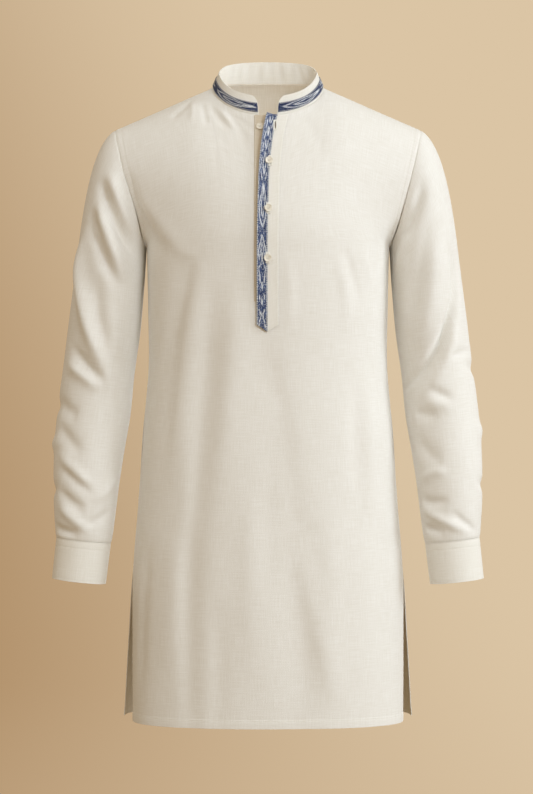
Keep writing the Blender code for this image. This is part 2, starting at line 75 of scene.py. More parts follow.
# %% Node arithmetic
class Value:
    """One output of a node; arithmetic on it adds Math nodes to its tree."""

    def __init__(self, tree, socket):
        self.tree, self.socket = tree, socket

    def node(self, kind, inputs, output=0, **settings):
        """Adds a node of the kind named, fills or wires its inputs, and hands back one output."""
        made = self.tree.nodes.new(kind)
        for name, setting in settings.items():
            setattr(made, name, setting)
        for name, given in inputs.items():
            if isinstance(given, Value):
                self.tree.links.new(given.socket, made.inputs[name])
            else:
                made.inputs[name].default_value = given
        return Value(self.tree, made.outputs[output])

    def math(self, operation, *others):
        return self.node("ShaderNodeMath", dict(enumerate((self, *others))), operation=operation)

    def __add__(self, other): return self.math("ADD", other)
    def __sub__(self, other): return self.math("SUBTRACT", other)
    def __mul__(self, other): return self.math("MULTIPLY", other)
    def __truediv__(self, other): return self.math("DIVIDE", other)
    def __rsub__(self, other): return self * -1.0 + other
    def __neg__(self): return self * -1.0
    __radd__, __rmul__ = __add__, __mul__

    def part(self, axis):
        """The x, y or z of a vector."""
        return self.node("ShaderNodeSeparateXYZ", {0: self}, output="XYZ".index(axis))

    def scaled(self, x, y, z=1.0):
        return self.node("ShaderNodeVectorMath", {0: self, 1: (x, y, z)}, operation="MULTIPLY")

    def noise(self, detail=2.0, rough=0.5):
        """Smooth noise from 0 to 1, at the point that this vector gives."""
        return self.node("ShaderNodeTexNoise",
                         {"Vector": self, "Scale": 1.0, "Detail": detail, "Roughness": rough})

    def ramp(self, low, high, out_low=0.0, out_high=1.0):
        """Eases from out_low to out_high as this goes from low to high."""
        return self.node("ShaderNodeMapRange", {0: self, 1: low, 2: high, 3: out_low, 4: out_high},
                         interpolation_type="SMOOTHSTEP")

    def mix(self, first, second):
        """The first colour where this is 0 and the second where it is 1."""
        return self.node("ShaderNodeMix", {0: self, 6: first, 7: second}, output=2, data_type="RGBA")


def new_material(name, roughness, **fixed):
    """A material, its Principled node, and its pieces' UV map in metres as a Value."""
    made = bpy.data.materials.new(name)
    made.use_nodes = True
    tree = made.node_tree
    shader = tree.nodes["Principled BSDF"]
    shader.inputs["Roughness"].default_value = roughness
    for socket, value in fixed.items():
        shader.inputs[socket.replace("_", " ")].default_value = value
    return made, shader, Value(tree, tree.nodes.new("ShaderNodeUVMap").outputs[0])


def object_place(made):
    """The point on a piece, in metres from its origin."""
    return Value(made.node_tree, made.node_tree.nodes.new("ShaderNodeTexCoord").outputs["Object"])


def plug(value, shader, socket):
    value.tree.links.new(value.socket, shader.inputs[socket])


def bump(height, shader, distance, strength=1.0):
    inputs = {"Strength": strength, "Distance": distance, "Height": height}
    plug(height.node("ShaderNodeBump", inputs), shader, "Normal")


print("a Value can", ", ".join(name for name in vars(Value) if not name.startswith("_")))

# %% [markdown]
# ## Meshes
# A mesh is a list of points and a list of faces that name their corners by number. The backdrop, the
# cloth and the stitches are built straight from such lists. Only the buttons are shaped by modelling
# operators, further on.

# %% Meshes
def new_piece(name, points, faces, finish):
    """A piece with a mesh of its own, in one material."""
    mesh = bpy.data.meshes.new(name)
    mesh.from_pydata(points, [], faces)
    mesh.materials.append(finish)
    mesh.shade_smooth()
    return in_scene(name, mesh)


def in_scene(name, data):
    """An object that shows the mesh or the light given."""
    piece = bpy.data.objects.new(name, data)
    bpy.context.scene.collection.objects.link(piece)
    return piece


def tube_faces(rings, around):
    """Quads between rings of points, each ring closed."""
    steps = [(j, (j + 1) % around) for j in range(around)]
    return [(low + j, low + around + j, low + around + after, low + after)
            for low in range(0, (rings - 1) * around, around) for j, after in steps]


print("a tube of 3 rings of 4 points has", len(tube_faces(3, 4)), "faces")

# %% [markdown]
# ## Backdrop
# A seamless backdrop of warm tan paper curves up round the tunic, so there is one behind it from
# every side. It glows by itself instead of being lit, which keeps its colour steady, and it throws
# no light on the cloth. Its glow is painted shade: it dims towards the wearer's right (-X) and
# towards the floor, as light falling off would.

# %% Backdrop
FLOOR_Z = -1.70
BOWL_RADIUS, BOWL_CURVE, BOWL_TOP_Z, BOWL_FLAT = 9.0, 3.0, 9.0, 3.0
BOWL_TURNS = 96
# glow colours of the backdrop: a painted falloff of light, from lit tan to shaded brown
TAN_PAINTED_LIT = (0.708, 0.558, 0.376, 1)
TAN_PAINTED_SHADE = (0.376, 0.215, 0.090, 1)


def backdrop():
    profile = [(0.0, FLOOR_Z), (BOWL_FLAT, FLOOR_Z)]
    for angle in np.linspace(0, math.pi / 2, 16):
        inwards, upwards = BOWL_CURVE * (1 - math.sin(angle)), BOWL_CURVE * (1 - math.cos(angle))
        profile.append((BOWL_RADIUS - inwards, FLOOR_Z + upwards))
    profile.append((BOWL_RADIUS, BOWL_TOP_Z))
    turns = [2 * math.pi * k / BOWL_TURNS for k in range(BOWL_TURNS)]
    points = [(r * math.cos(turn), r * math.sin(turn), z) for r, z in profile for turn in turns]
    paper, shader, _ = new_material("backdrop paper", 1.0, Specular_IOR_Level=0.0,
                                    Base_Color=(0, 0, 0, 1))
    place = object_place(paper)
    # painted shade: the glow darkens towards -X and downwards
    lit = (place.part("X") + place.part("Z") * 0.42).ramp(-3.1, 0.8)
    plug(lit.mix(TAN_PAINTED_SHADE, TAN_PAINTED_LIT), shader, "Emission Color")
    shader.inputs["Emission Strength"].default_value = 1.0
    faces = [face[::-1] for face in tube_faces(len(profile), BOWL_TURNS)]
    made = new_piece("backdrop", points, faces, paper)
    made.visible_diffuse = made.visible_glossy = made.visible_shadow = False
    return made


bowl = backdrop()
print("backdrop", len(bowl.data.polygons), "faces")

# %% [markdown]
# ## Light
# Two large soft lamps stand on the wearer's left and a weak one high on the right. One behind gives
# the back its own light and doesn't reach the front. The rest is the warm light that such a room
# gives back. Thin linen lets some light through, and the thicker cloth of a model doesn't, so a
# very small lamp stands inside the chest for it.

# %% Light
ROOM_WARM = (0.33, 0.222, 0.105, 1)
ROOM_SOFT = (0.61, 0.540, 0.435, 1)
ROOM_LIGHT_FROM = (0.35, -0.50, 0.79)


def room_light():
    world = bpy.data.worlds.new("room")
    world.use_nodes = True
    bpy.context.scene.world = world
    tree = world.node_tree
    direction = Value(tree, tree.nodes.new("ShaderNodeTexCoord").outputs["Generated"])
    facing = direction.node("ShaderNodeVectorMath", {0: direction, 1: ROOM_LIGHT_FROM}, output=1,
                            operation="DOT_PRODUCT")
    tree.links.new(facing.ramp(-0.6, 0.9).mix(ROOM_WARM, ROOM_SOFT).socket,
                   tree.nodes["Background"].inputs["Color"])


# name, place, aim, size, power, colour
LAMPS = (
    ("key lamp", (3.7, -1.2, 0.30), (0, 0, -0.45), 1.5, 62.0, (0.80, 0.90, 1.0)),
    ("fill lamp", (2.2, -3.4, 1.2), (0, 0, -0.45), 1.6, 72.0, (0.80, 0.90, 1.0)),
    ("far lamp", (-1.3, -1.5, 1.1), (-0.1, -0.1, -0.15), 0.9, 7.5, (0.84, 0.92, 1.0)),
    ("back lamp", (0.9, 3.7, 0.3), (0, 0, -0.45), 1.8, 95.0, (0.86, 0.93, 1.0)),
    ("light through the cloth", (0, 0.0, -0.20), (0, 0.05, 0.0), 0.06, 0.125, (1.0, 0.84, 0.62)),
)


def lamp(name, place, aim, size, power, colour):
    light = bpy.data.lights.new(name, "AREA")
    light.shape, light.size, light.energy, light.color = "DISK", size, power, colour
    made = in_scene(name, light)
    made.location = place
    made.rotation_euler = (Vector(place) - Vector(aim)).to_track_quat("Z", "Y").to_euler()
    made.visible_camera = False


room_light()
for one in LAMPS:
    lamp(*one)
bpy.context.scene.view_settings.view_transform = "Standard"
print("lamps:", ", ".join(f"{one[0]} {one[4]} W" for one in LAMPS))

# %% [markdown]
# ## The garment's sizes
# These are the pattern cutter's numbers, the same as in the CAD part, because a notebook can't read
# that file. Each table has one row for a level of the body or the sleeve.

# %% Sizes
CLOTH = 0.0012                  # wall of the shell cloth
RIBBON = 0.0010                 # wall of the woven trim and the plackets
GAP = 0.0003                    # between pieces that lie on each other

HALF_ROUND = 0.270              # from a panel's centre to its side seam, round the body
HEM_Z = -0.978
SLIT_TOP_Z = -0.744
PIT_Z, PIT_X = -0.246, 0.188    # underarm point
TIP_X, TIP_Y, TIP_Z = 0.2365, -0.012, -0.066    # shoulder tip
ARMHOLE_FRONT, ARMHOLE_BACK, ARMHOLE_BOW = 0.056, 0.058, 0.8
NECK_HALF, NECK_Y, NECK_REACH = 0.086, -0.015, 0.060
NECK_DROP, NECK_RISE, NECK_BLUNT = 0.050, 0.0135, 0.7
NECK_SPAN = 0.33                # share of a panel's half width that ends on the neckline
SECTION_POWER = 2.35            # 2 is an ellipse, more is squarer
BACK_FLARE = 0.0165
SLIT_FRONT_Y, SLIT_BACK_Y = -0.020, 0.028
POCKET_TOP_Z, POCKET_LOW_Z, POCKET_GAPE = -0.470, -0.632, 0.0035
SLOT_HALF, SLOT_END_Z = 0.012, -0.335
PLACKET_HALF, PLACKET_SIDE_END_Z, PLACKET_POINT_Z, PLACKET_TOP_Z = 0.0163, -0.370, -0.381, -0.0500
UNDER_PLACKET = (-0.0207, 0.0120)
PLACKET_STAND_FROM = 0.35       # share of its half width from which its free edge stands off
BAND_TOP_HALF, BAND_TOP_Y, BAND_TOP_REACH = 0.0765, -0.0135, 0.054
BAND_TOP_Z, BAND_TOP_RISE, BAND_TOP_DROP = 0.0225, 0.0250, 0.0425
BAND_BLUNT = (1.2, 2.0)         # how much squarer than an ellipse its front and its back are
BAND_END_X, BAND_ROUND, BAND_ROUND_FROM = 0.0145, 0.0120, 0.30
BAND_TRIM = (0.13, 0.62)        # shares of the band's height that the ribbon covers
CUFF_TOP_Z, CUFF_BOTTOM_Z = -0.699, -0.7617
SLEEVE_RING_Z = -0.300          # biceps, where the sleeve head ends
BUTTON_RADIUS, BUTTON_THICK = 0.00575, 0.0026

# z, half width at the side seam, depth to the centre front, depth to the centre back
BODY = (
    (HEM_Z, 0.2085, 0.127, 0.134),
    (-0.860, 0.2095, 0.126, 0.132),
    (SLIT_TOP_Z, 0.2090, 0.124, 0.130),
    (-0.640, 0.2010, 0.121, 0.126),
    (-0.532, 0.1945, 0.118, 0.115),
    (-0.440, 0.1855, 0.118, 0.107),
    (-0.340, 0.1860, 0.124, 0.113),
    (PIT_Z, PIT_X, 0.130, 0.122),
)
# z, x of the middle, y of the middle, half width, half depth, lean
SLEEVE = (
    (CUFF_TOP_Z, 0.2840, -0.034, 0.0428, 0.0365, 0.11),
    (-0.688, 0.2835, -0.033, 0.0442, 0.0388, 0.10),
    (-0.655, 0.2825, -0.030, 0.0475, 0.0430, 0.08),
    (-0.610, 0.2805, -0.025, 0.0508, 0.0470, 0.07),
    (-0.560, 0.2765, -0.018, 0.0540, 0.0500, 0.09),
    (-0.500, 0.2695, -0.009, 0.0565, 0.0530, 0.11),
    (-0.440, 0.2630, -0.002, 0.0555, 0.0570, 0.12),
    (-0.370, 0.2540, 0.000, 0.0560, 0.0620, 0.13),
    (SLEEVE_RING_Z, 0.2465, 0.000, 0.0545, 0.0660, 0.10),
)
CUFF = (
    (CUFF_BOTTOM_Z, 0.2907, -0.040, 0.0416, 0.0352, 0.11),
    (CUFF_TOP_Z, 0.2840, -0.034, 0.0422, 0.0358, 0.11),
)
# z, x of the upper placket's centre line
PLACKET_LINE = (
    (PLACKET_POINT_Z, -0.0008),
    (-0.330, -0.0008),
    (-0.188, 0.0004),
    (-0.117, 0.0036),
    (-0.067, 0.0106),
    (PLACKET_TOP_Z, 0.0146),
)
# z, how far its free edge stands off, more where it is undone
PLACKET_STAND = (
    (-0.345, 0.0),
    (-0.300, 0.0030),
    (-0.140, 0.0032),
    (-0.060, 0.0060),
)
# x, z
BUTTONS = (
    (-0.0122, -0.0690),
    (0.0018, -0.1236),
    (0.0008, -0.1962),
    (-0.0002, -0.2700),
)
print("body", round(TIP_Z - HEM_Z, 3), "m from shoulder to hem")
print("sleeve", round(TIP_Z - CUFF_BOTTOM_Z, 3), "m from shoulder to cuff")

# %% [markdown]
# ## Smooth curves
# A tailor's curve runs smoothly through a few measured points. A cubic with a given slope at both
# ends does the same between two rows of a table. It needs no solver, and it never overshoots far.

# %% Smooth curves
NUDGE = 0.004                   # a small step along a surface, from which its slope is taken


def bell(distance, width):
    """1 at no distance, and next to nothing at twice the width."""
    return np.exp(-(distance / width) ** 2)


def ease(x):
    """Runs softly from 0 to 1 as x does."""
    x = np.clip(x, 0, 1)
    return x * x * (3 - 2 * x)


def hermite(start, start_pull, end, end_pull, t):
    """Cubic from start to end; the pulls are its first derivatives there."""
    return (start * (2 * t**3 - 3 * t**2 + 1) + start_pull * (t**3 - 2 * t**2 + t)
            + end * (3 * t**2 - 2 * t**3) + end_pull * (t**3 - t**2))


def read(table, column, at):
    """A column of a table at the heights given, on a smooth curve through its rows."""
    rows = np.array(table)
    z, value = rows[:, 0], rows[:, column]
    slope = np.gradient(value, z)
    k = np.clip(np.searchsorted(z, at) - 1, 0, len(z) - 2)
    step = z[k + 1] - z[k]
    return hermite(value[k], slope[k] * step, value[k + 1], slope[k + 1] * step, (at - z[k]) / step)


def stack(x, y, z):
    return np.stack(np.broadcast_arrays(x, y, z), axis=-1)


def unit(vectors):
    return vectors / np.linalg.norm(vectors, axis=-1, keepdims=True)


def run_length(points):
    return round(float(np.linalg.norm(np.diff(points, axis=0), axis=1).sum()), 3)


print("half width of the body at the hem", round(float(read(BODY, 1, HEM_Z)), 4))

# %% [markdown]
# ## The body's form
# A filled-out shirt isn't round: it is an oblong with soft corners. A superellipse gives that with
# one number, and its half width and its two depths come from the body's table. The columns of a
# panel are spaced evenly round it, so that the weave isn't stretched at the sides. Below the slit's
# top the front and the back part.

# %% The body's form
def section_arc():
    """Angles from a section's centre to its side, and the share of the way round at each."""
    angle = np.linspace(0.0, math.pi / 2, 400)
    x = PIT_X * np.sin(angle) ** (2 / SECTION_POWER)
    y = BODY[-1][2] * np.cos(angle) ** (2 / SECTION_POWER)
    arc = np.concatenate(([0.0], np.cumsum(np.hypot(np.diff(x), np.diff(y)))))
    return angle, arc / arc[-1]


ANGLE, SHARE = section_arc()


def blunt(c, how_much):
    """A cosine made squarer, still from -1 to 1."""
    return c * (1 + how_much) / (1 + how_much * np.abs(c))


def body_point(u, z, side):
    """Point of the body below the underarm; u runs from -1 to 1 between the side seams."""
    slit = np.clip((SLIT_TOP_Z - z) / (SLIT_TOP_Z - HEM_Z), 0.0, 1.0)
    width = read(BODY, 1, z)
    angle = np.interp(np.abs(u), SHARE, ANGLE)
    across = np.sin(angle) ** (2 / SECTION_POWER)
    forward = np.abs(np.cos(angle)) ** (2 / SECTION_POWER)
    if side == "front":
        pocket = np.clip((z - POCKET_LOW_Z) / (POCKET_TOP_Z - POCKET_LOW_Z), 0.0, 1.0)
        pocket = POCKET_GAPE * np.sin(math.pi * pocket) ** 2
        width = width - pocket * np.abs(u) ** 8
        edge = SLIT_FRONT_Y * slit - pocket
        depth = -read(BODY, 2, z)
    else:
        width = width + BACK_FLARE * slit
        edge = SLIT_BACK_Y * slit
        depth = read(BODY, 3, z)
    return stack(np.sign(u) * width * across, edge + (depth - edge) * forward, z)


belly = body_point(np.array((-1.0, 0.0, 1.0)), np.full(3, PIT_Z), "front")
print("chest", round(float(belly[2, 0] - belly[0, 0]), 3), "m wide,", round(float(-belly[1, 1]), 3),
      "m to the front")

# %% [markdown]
# ## The armhole, the neckline and the yoke
# Above the underarm each column of a panel rises on its own smooth curve to the neckline or the
# shoulder seam, and sways to meet the armhole. Two loops rule it: the armhole, which is a tilted
# ring, and the neckline, which drops in front and rises behind. A column leaves the body at its
# slope there and arrives at the top at a pull of its own.

# %% The armhole, the neckline and the yoke
# with what pull a column arrives at the top, at the centre and along the shoulder
TOP_PULLS = {
    "front": ((0.0, 0.090, 0.160), (0.0, 0.230, 0.085)),
    "back": ((0.0, -0.180, 0.100), (0.0, -0.240, -0.030)),
}
CENTRE_SPAN = 1.6               # how far the centre's pull fades out, in spans of the neck
# steps along the top edge and the weight of each, which round its corner off
SOFTENING = ((-0.16, 0.12), (-0.08, 0.22), (0.0, 0.32), (0.08, 0.22), (0.16, 0.12))


def armhole(phi):
    """The armhole seam of the +X side: 0 is the underarm, pi the shoulder tip, the front first."""
    rise = (1 - np.cos(phi)) / 2
    reach = np.where(phi <= math.pi, ARMHOLE_FRONT, ARMHOLE_BACK)
    return stack(PIT_X + (TIP_X - PIT_X) * rise**ARMHOLE_BOW, TIP_Y * rise - reach * np.sin(phi),
                 PIT_Z + (TIP_Z - PIT_Z) * rise)


def neck_point(theta):
    """The neckline: 0 is the centre front, pi/2 the +X shoulder seam and pi the centre back."""
    c = np.cos(theta)
    c = np.where(c < 0, blunt(c, NECK_BLUNT), c)
    z = NECK_RISE * np.maximum(-c, 0) - NECK_DROP * np.maximum(c, 0) ** 1.08
    return stack(NECK_HALF * np.sin(theta), NECK_Y - NECK_REACH * c, z)


def top_edge(u, side):
    """Where a panel's columns end: on the neckline, then along the shoulder seam."""
    share = np.clip(np.abs(u) / NECK_SPAN, 0.0, 1.0)
    theta = share * math.pi / 2
    neck = neck_point(theta if side == "front" else math.pi - theta)
    along = np.clip((np.abs(u) - NECK_SPAN) / (1 - NECK_SPAN), 0.0, None)[..., None]
    point = neck + along * (np.array((TIP_X, TIP_Y, TIP_Z)) - neck_point(np.array(math.pi / 2)))
    point[..., 0] *= np.where(u < 0, -1, 1)
    return point


def soft_top_edge(u, side):
    """The top edge with its corner at the collar rounded off, which the cloth below follows."""
    return sum(weight * top_edge(u + step, side) for step, weight in SOFTENING)


def yoke_point(u, t, side):
    """Point of a panel between the underarm level, t = 0, and its top edge, t = 1."""
    centre_pull, shoulder_pull = (np.array(pull) for pull in TOP_PULLS[side])
    seam = armhole(math.pi * (t if side == "front" else 2 - t))
    depth = BODY[-1][2 if side == "front" else 3]
    forward = np.clip(np.abs(seam[..., 1]) / depth, 0, 1)
    room = np.interp(np.arccos(forward ** (SECTION_POWER / 2)), ANGLE, SHARE)

    def column(at):
        start = body_point(at * room, np.full_like(at, PIT_Z), side)
        below = body_point(at * room, np.full_like(at, PIT_Z - NUDGE), side)
        end = soft_top_edge(at, side)
        mix = ease(np.abs(at) / (CENTRE_SPAN * NECK_SPAN))[..., None]
        pull = centre_pull * (1 - mix) + shoulder_pull * mix
        rise = (start - below) / NUDGE * (end[..., 2:] - PIT_Z)
        corner = (top_edge(at, side) - end) * t[..., None] ** 5
        return hermite(start, rise, end, pull, t[..., None]) + corner

    sway = seam - column(np.ones_like(u))
    sway[..., 0] *= np.where(u < 0, -1, 1)
    return column(u) + (u**2)[..., None] * sway


def smooth_panel(u, v, side):
    """Point of a panel without folds; v is 0 at the hem, 1 at the underarm and 2 at the top."""
    u, v = np.broadcast_arrays(np.asarray(u, float), np.asarray(v, float))
    low = body_point(u, HEM_Z + (PIT_Z - HEM_Z) * np.clip(v, 0, 1), side)
    apart = np.array((0.0, GAP / 2, 0.0)) * (-1 if side == "front" else 1)
    return np.where((v <= 1)[..., None], low, yoke_point(u, np.clip(v - 1, 0, 1), side)) + apart


def panel_normal(u, v, side):
    """Outward normal of the panel without folds, by differences."""
    left, right = (smooth_panel(np.clip(u + d, -1, 1), v, side) for d in (NUDGE, -NUDGE))
    above, below = (smooth_panel(u, np.clip(v + d, 0, 2), side) for d in (NUDGE, -NUDGE))
    return unit(np.cross(left - right, above - below)) * (1 if side == "front" else -1)


ALL_ROUND = np.linspace(0, 2 * math.pi, 200)
print("armhole", run_length(armhole(ALL_ROUND)), "m round")

# %% [markdown]
# ## The sleeve's form
# A set-in sleeve runs from the armhole's loop to rings that stand square to a leaning arm. Over its
# head the cloth leaves the armhole at a slope that is steep at the underarm and flatter at the
# shoulder, as its cut makes it.

# %% The sleeve's form
LEAVE_PULL, ARRIVE_PULL = 0.60, 1.04    # for each metre between the armhole and the biceps


def ring_point(table, phi, z):
    """Point of a sleeve's or a cuff's ring: phi is 0 at the inner side and pi at the outer."""
    x, y, half_width, half_depth, lean = (read(table, column, z) for column in range(1, 6))
    across = -np.cos(phi) * half_width / np.hypot(1, lean)
    return stack(x + across, y - np.sin(phi) * half_depth, z + across * lean)


def sleeve_point(phi, w):
    """Point of the +X sleeve: w runs 0 to 1 over the head and 1 to 2 from the biceps to the cuff."""
    phi, w = np.broadcast_arrays(np.asarray(phi, float), np.asarray(w, float))
    z = SLEEVE_RING_Z + (CUFF_TOP_Z + GAP - SLEEVE_RING_Z) * np.clip(w - 1, 0, 1)
    low = ring_point(SLEEVE, phi, z)
    top = (1 - np.cos(phi)) / 2
    leave = unit(stack(0.10 + 0.77 * top, -0.22 * np.sin(phi), -0.98 + 0.48 * top))
    start = armhole(phi) + GAP * unit(leave + stack(1.2 * (1 - top), 0.0, 0.0))
    ring = np.full_like(phi, SLEEVE_RING_Z)
    end = ring_point(SLEEVE, phi, ring)
    arrive = unit(ring_point(SLEEVE, phi, ring - 0.01) - end)
    length = np.linalg.norm(end - start, axis=-1, keepdims=True)
    t = np.clip(w, 0, 1)[..., None]
    head = hermite(start, leave * length * LEAVE_PULL, end, arrive * length * ARRIVE_PULL, t)
    return np.where((w <= 1)[..., None], head, low)


rim = ring_point(CUFF, ALL_ROUND, np.full_like(ALL_ROUND, CUFF_BOTTOM_Z))
print("cuff", run_length(rim), "m round")

# %% [markdown]
# ## The collar band's form
# The band is a strip between two loops, the neckline and a smaller one above it. Its front ends are
# rounded by starting each level a little farther round.

# %% The collar band's form
BAND_RIPPLE = 0.0014            # where easing the neck into the band leaves soft upright ripples


def band_point(s, h, lift=0.0, inset=0.0):
    """Point of the collar band: s is 0 to 1 from the +X front end round the back, h 0 to 1 up it."""
    past = np.clip((h - BAND_ROUND_FROM) / (1 - BAND_ROUND_FROM), 0.0, 1.0)
    end = BAND_END_X + inset + BAND_ROUND * (1 - np.sqrt(1 - 0.999 * past**2))
    first = np.arcsin(end / (NECK_HALF + (BAND_TOP_HALF - NECK_HALF) * h))

    def edges(theta):
        c = np.cos(theta)
        c = np.where(c > 0, blunt(c, BAND_BLUNT[0]), blunt(c, BAND_BLUNT[1]))
        low = neck_point(theta) + np.array((0.0, 0.0, GAP))
        z = BAND_TOP_Z + BAND_TOP_RISE * np.maximum(-c, 0) ** 1.4
        z = z - BAND_TOP_DROP * np.maximum(c, 0) ** 1.9
        high = stack(BAND_TOP_HALF * np.sin(theta), BAND_TOP_Y - BAND_TOP_REACH * c, z)
        return low, high

    def point(theta):
        low, high = edges(theta)
        return low + (high - low) * h[..., None]

    theta = first + s * (2 * math.pi - 2 * first)
    low, high = edges(theta)
    normal = unit(np.cross(point(theta + 0.01) - point(theta - 0.01), high - low))
    ripple = BAND_RIPPLE * np.sin(21 * theta) * np.sin(8 * theta + 1.0)
    ripple = ripple * np.maximum(-np.cos(theta), 0) * np.sin(math.pi * h)
    return point(theta) + normal * (np.asarray(lift) + ripple)[..., None]


print("collar", run_length(band_point(np.linspace(0, 1, 200), np.zeros(200))), "m round")

# %% [markdown]
# ## Creases of the front
# Linen creases softly and unevenly. Every crease here is listed one by one: a ridge or a trough that
# follows a curved path, with its own width on each side and its own height, and that fades out at
# both ends. Cloth simulation could make creases too, but not these ones. In front, drag lines run
# from the armholes to where the chest fills the cloth, long folds fall from there to the hem, and
# short pulls gather under the collar. `left` and `right` are the half widths on each side as the
# path is walked from outside; a narrow side makes a steep flank.

# %% Creases of the front
# All in millimetres: x and z of a path's start, middle and end as seen from that face; then left,
# right and height.
FRONT_CREASES = (
    (-213, -125, -198, -200, -150, -262, 10, 17, -6),
    (-196, -165, -160, -222, -112, -275, 16, 12, 3),
    (-116, -262, -128, -325, -160, -450, 13, 20, -4),
    (-100, -262, -124, -420, -146, -640, 20, 14, 5),
    (-78, -300, -100, -540, -125, -830, 20, 15, -5),
    (-118, -660, -120, -815, -116, -1060, 18, 14, -3.6),
    (-42, -290, -57, -450, -74, -640, 26, 20, 3),
    (-18, -372, 20, -520, 42, -740, 18, 26, -2.2),
    (34, -600, 50, -800, 46, -1080, 30, 34, -5.2),
    (36, -640, 70, -810, 112, -960, 20, 16, 3),
    (26, -262, 34, -320, 30, -400, 8, 12, 1.4),
    (112, -245, 129, -294, 142, -350, 7, 10, -2.2),
    (102, -258, 116, -315, 122, -390, 10, 9, 1.8),
    (138, -252, 153, -287, 165, -330, 9, 9, 1.8),
    (182, -215, 165, -270, 158, -350, 10, 12, -2),
    (156, -440, 157, -560, 158, -700, 18, 14, 2.8),
    (135, -440, 132, -530, 138, -640, 14, 12, -2.4),
    (170, -660, 176, -760, 160, -900, 16, 18, -2.6),
    (-140, -670, -145, -790, -146, -930, 18, 20, 2.4),
    (-180, -690, -190, -800, -194, -960, 12, 12, -2.8),
    (-112, -18, -134, -38, -150, -56, 6, 5, -2.6),
    (-102, -24, -97, -43, -93, -68, 4, 5, -2.4),
    (-90, -28, -76, -50, -56, -74, 5, 6, -3.2),
    (-66, -42, -43, -70, -30, -112, 5, 5, -2.4),
    (-78, -36, -62, -56, -48, -76, 4, 4, 1.8),
    (-120, -22, -116, -40, -118, -62, 4, 4, 1.8),
    (-54, -48, -36, -62, -26, -80, 3, 3, -1.6),
    (172, -70, 148, -96, 124, -122, 9, 10, -1.4),
    (50, -44, 70, -78, 80, -120, 8, 10, -0.9),
    (100, -640, 96, -780, 104, -900, 20, 18, 1.8),
    (-20, -600, -26, -760, -18, -930, 24, 18, 2),
    (6, -500, 0, -640, 4, -800, 16, 22, -1.6),
    (-78, -780, -74, -880, -80, -1040, 18, 14, -1.8),
)
print(len(FRONT_CREASES), "creases in front")

# %% [markdown]
# ## Creases of the back
# The back hangs from the shoulder blades, so its folds start lower and fall straighter.

# %% Creases of the back
BACK_CREASES = (
    (-205, -140, -190, -215, -140, -275, 20, 12, -4.2),
    (208, -135, 188, -220, 128, -285, 12, 22, -4.5),
    (122, -270, 118, -390, 134, -560, 16, 20, 4.4),
    (-112, -262, -108, -420, -128, -660, 18, 14, 4.8),
    (-80, -330, -74, -560, -92, -840, 18, 22, -5),
    (82, -300, 86, -520, 72, -800, 20, 16, -4.6),
    (10, -240, 0, -440, 12, -660, 24, 30, 4),
    (40, -560, 52, -760, 40, -1060, 22, 18, -5.5),
    (-34, -520, -46, -740, -40, -1060, 18, 24, 4),
    (-130, -700, -140, -820, -136, -1060, 20, 16, -4),
    (132, -660, 146, -800, 150, -1060, 18, 20, 3.6),
    (-70, -45, -100, -78, -136, -100, 9, 12, -1.8),
    (66, -42, 104, -70, 148, -90, 12, 10, -2),
    (30, -20, 34, -70, 26, -130, 12, 10, -1.3),
    (-170, -440, -164, -540, -168, -660, 12, 14, 2.6),
    (170, -420, 160, -520, 168, -640, 14, 12, -2.6),
)
print(len(BACK_CREASES), "creases behind")

# %% [markdown]
# ## Creases of the sleeves
# A sleeve pulls from the armhole, breaks at the elbow and bunches above the cuff. Each arm has
# creased its own sleeve, so there are two tables. A row names the face that it lies on: front and
# back rows give x and z, and outer rows y and z.

# %% Creases of the sleeves
RIGHT_SLEEVE_CREASES = (
    ("front", -243, -128, -229, -184, -205, -240, 11, 10, 9.4),
    ("front", -256, -142, -238, -200, -198, -275, 12, 9, -12.2),
    ("front", -258, -176, -244, -238, -220, -312, 12, 10, 10.4),
    ("front", -270, -186, -257, -247, -218, -325, 10, 10, -8.4),
    ("front", -276, -215, -285, -330, -226, -492, 14, 11, 11.7),
    ("front", -254, -290, -262, -350, -243, -420, 12, 14, -6.4),
    ("front", -236, -330, -238, -380, -226, -430, 12, 12, 3.8),
    ("front", -304, -395, -278, -431, -250, -458, 8, 10, -7),
    ("front", -312, -425, -284, -444, -250, -470, 8, 10, 6.4),
    ("front", -322, -486, -305, -500, -288, -508, 9, 12, -4.1),
    ("front", -322, -520, -305, -544, -280, -568, 10, 10, -4.6),
    ("front", -324, -560, -298, -590, -262, -626, 10, 9, 4.3),
    ("front", -318, -584, -293, -606, -262, -630, 6, 8, -4.3),
    ("front", -322, -618, -301, -638, -276, -652, 7, 9, -5.1),
    ("front", -322, -642, -299, -665, -268, -686, 8, 7, 4.6),
    ("front", -328, -676, -311, -684, -286, -688, 6, 6, -5.4),
    ("front", -230, -596, -247, -624, -270, -640, 7, 9, 3.2),
    ("front", -238, -646, -258, -666, -282, -674, 6, 7, -3.2),
    ("outer", -50, -480, -10, -494, 30, -486, 10, 12, -4.1),
    ("outer", -52, -540, -10, -552, 26, -536, 10, 10, 3.9),
    ("outer", -60, -610, -28, -622, 10, -606, 8, 10, -3.9),
    ("back", -240, -130, -226, -200, -206, -260, 12, 12, -5.7),
    ("back", -262, -180, -252, -270, -228, -360, 14, 12, 5.7),
    ("back", -222, -400, -252, -446, -296, -470, 10, 12, -5.5),
    ("back", -226, -450, -256, -480, -304, -500, 10, 10, 5.1),
    ("back", -228, -520, -256, -548, -300, -556, 10, 10, -4.1),
    ("back", -236, -600, -268, -640, -306, -660, 9, 10, -4.1),
    ("back", -242, -640, -276, -668, -316, -684, 8, 8, 3.9),
)
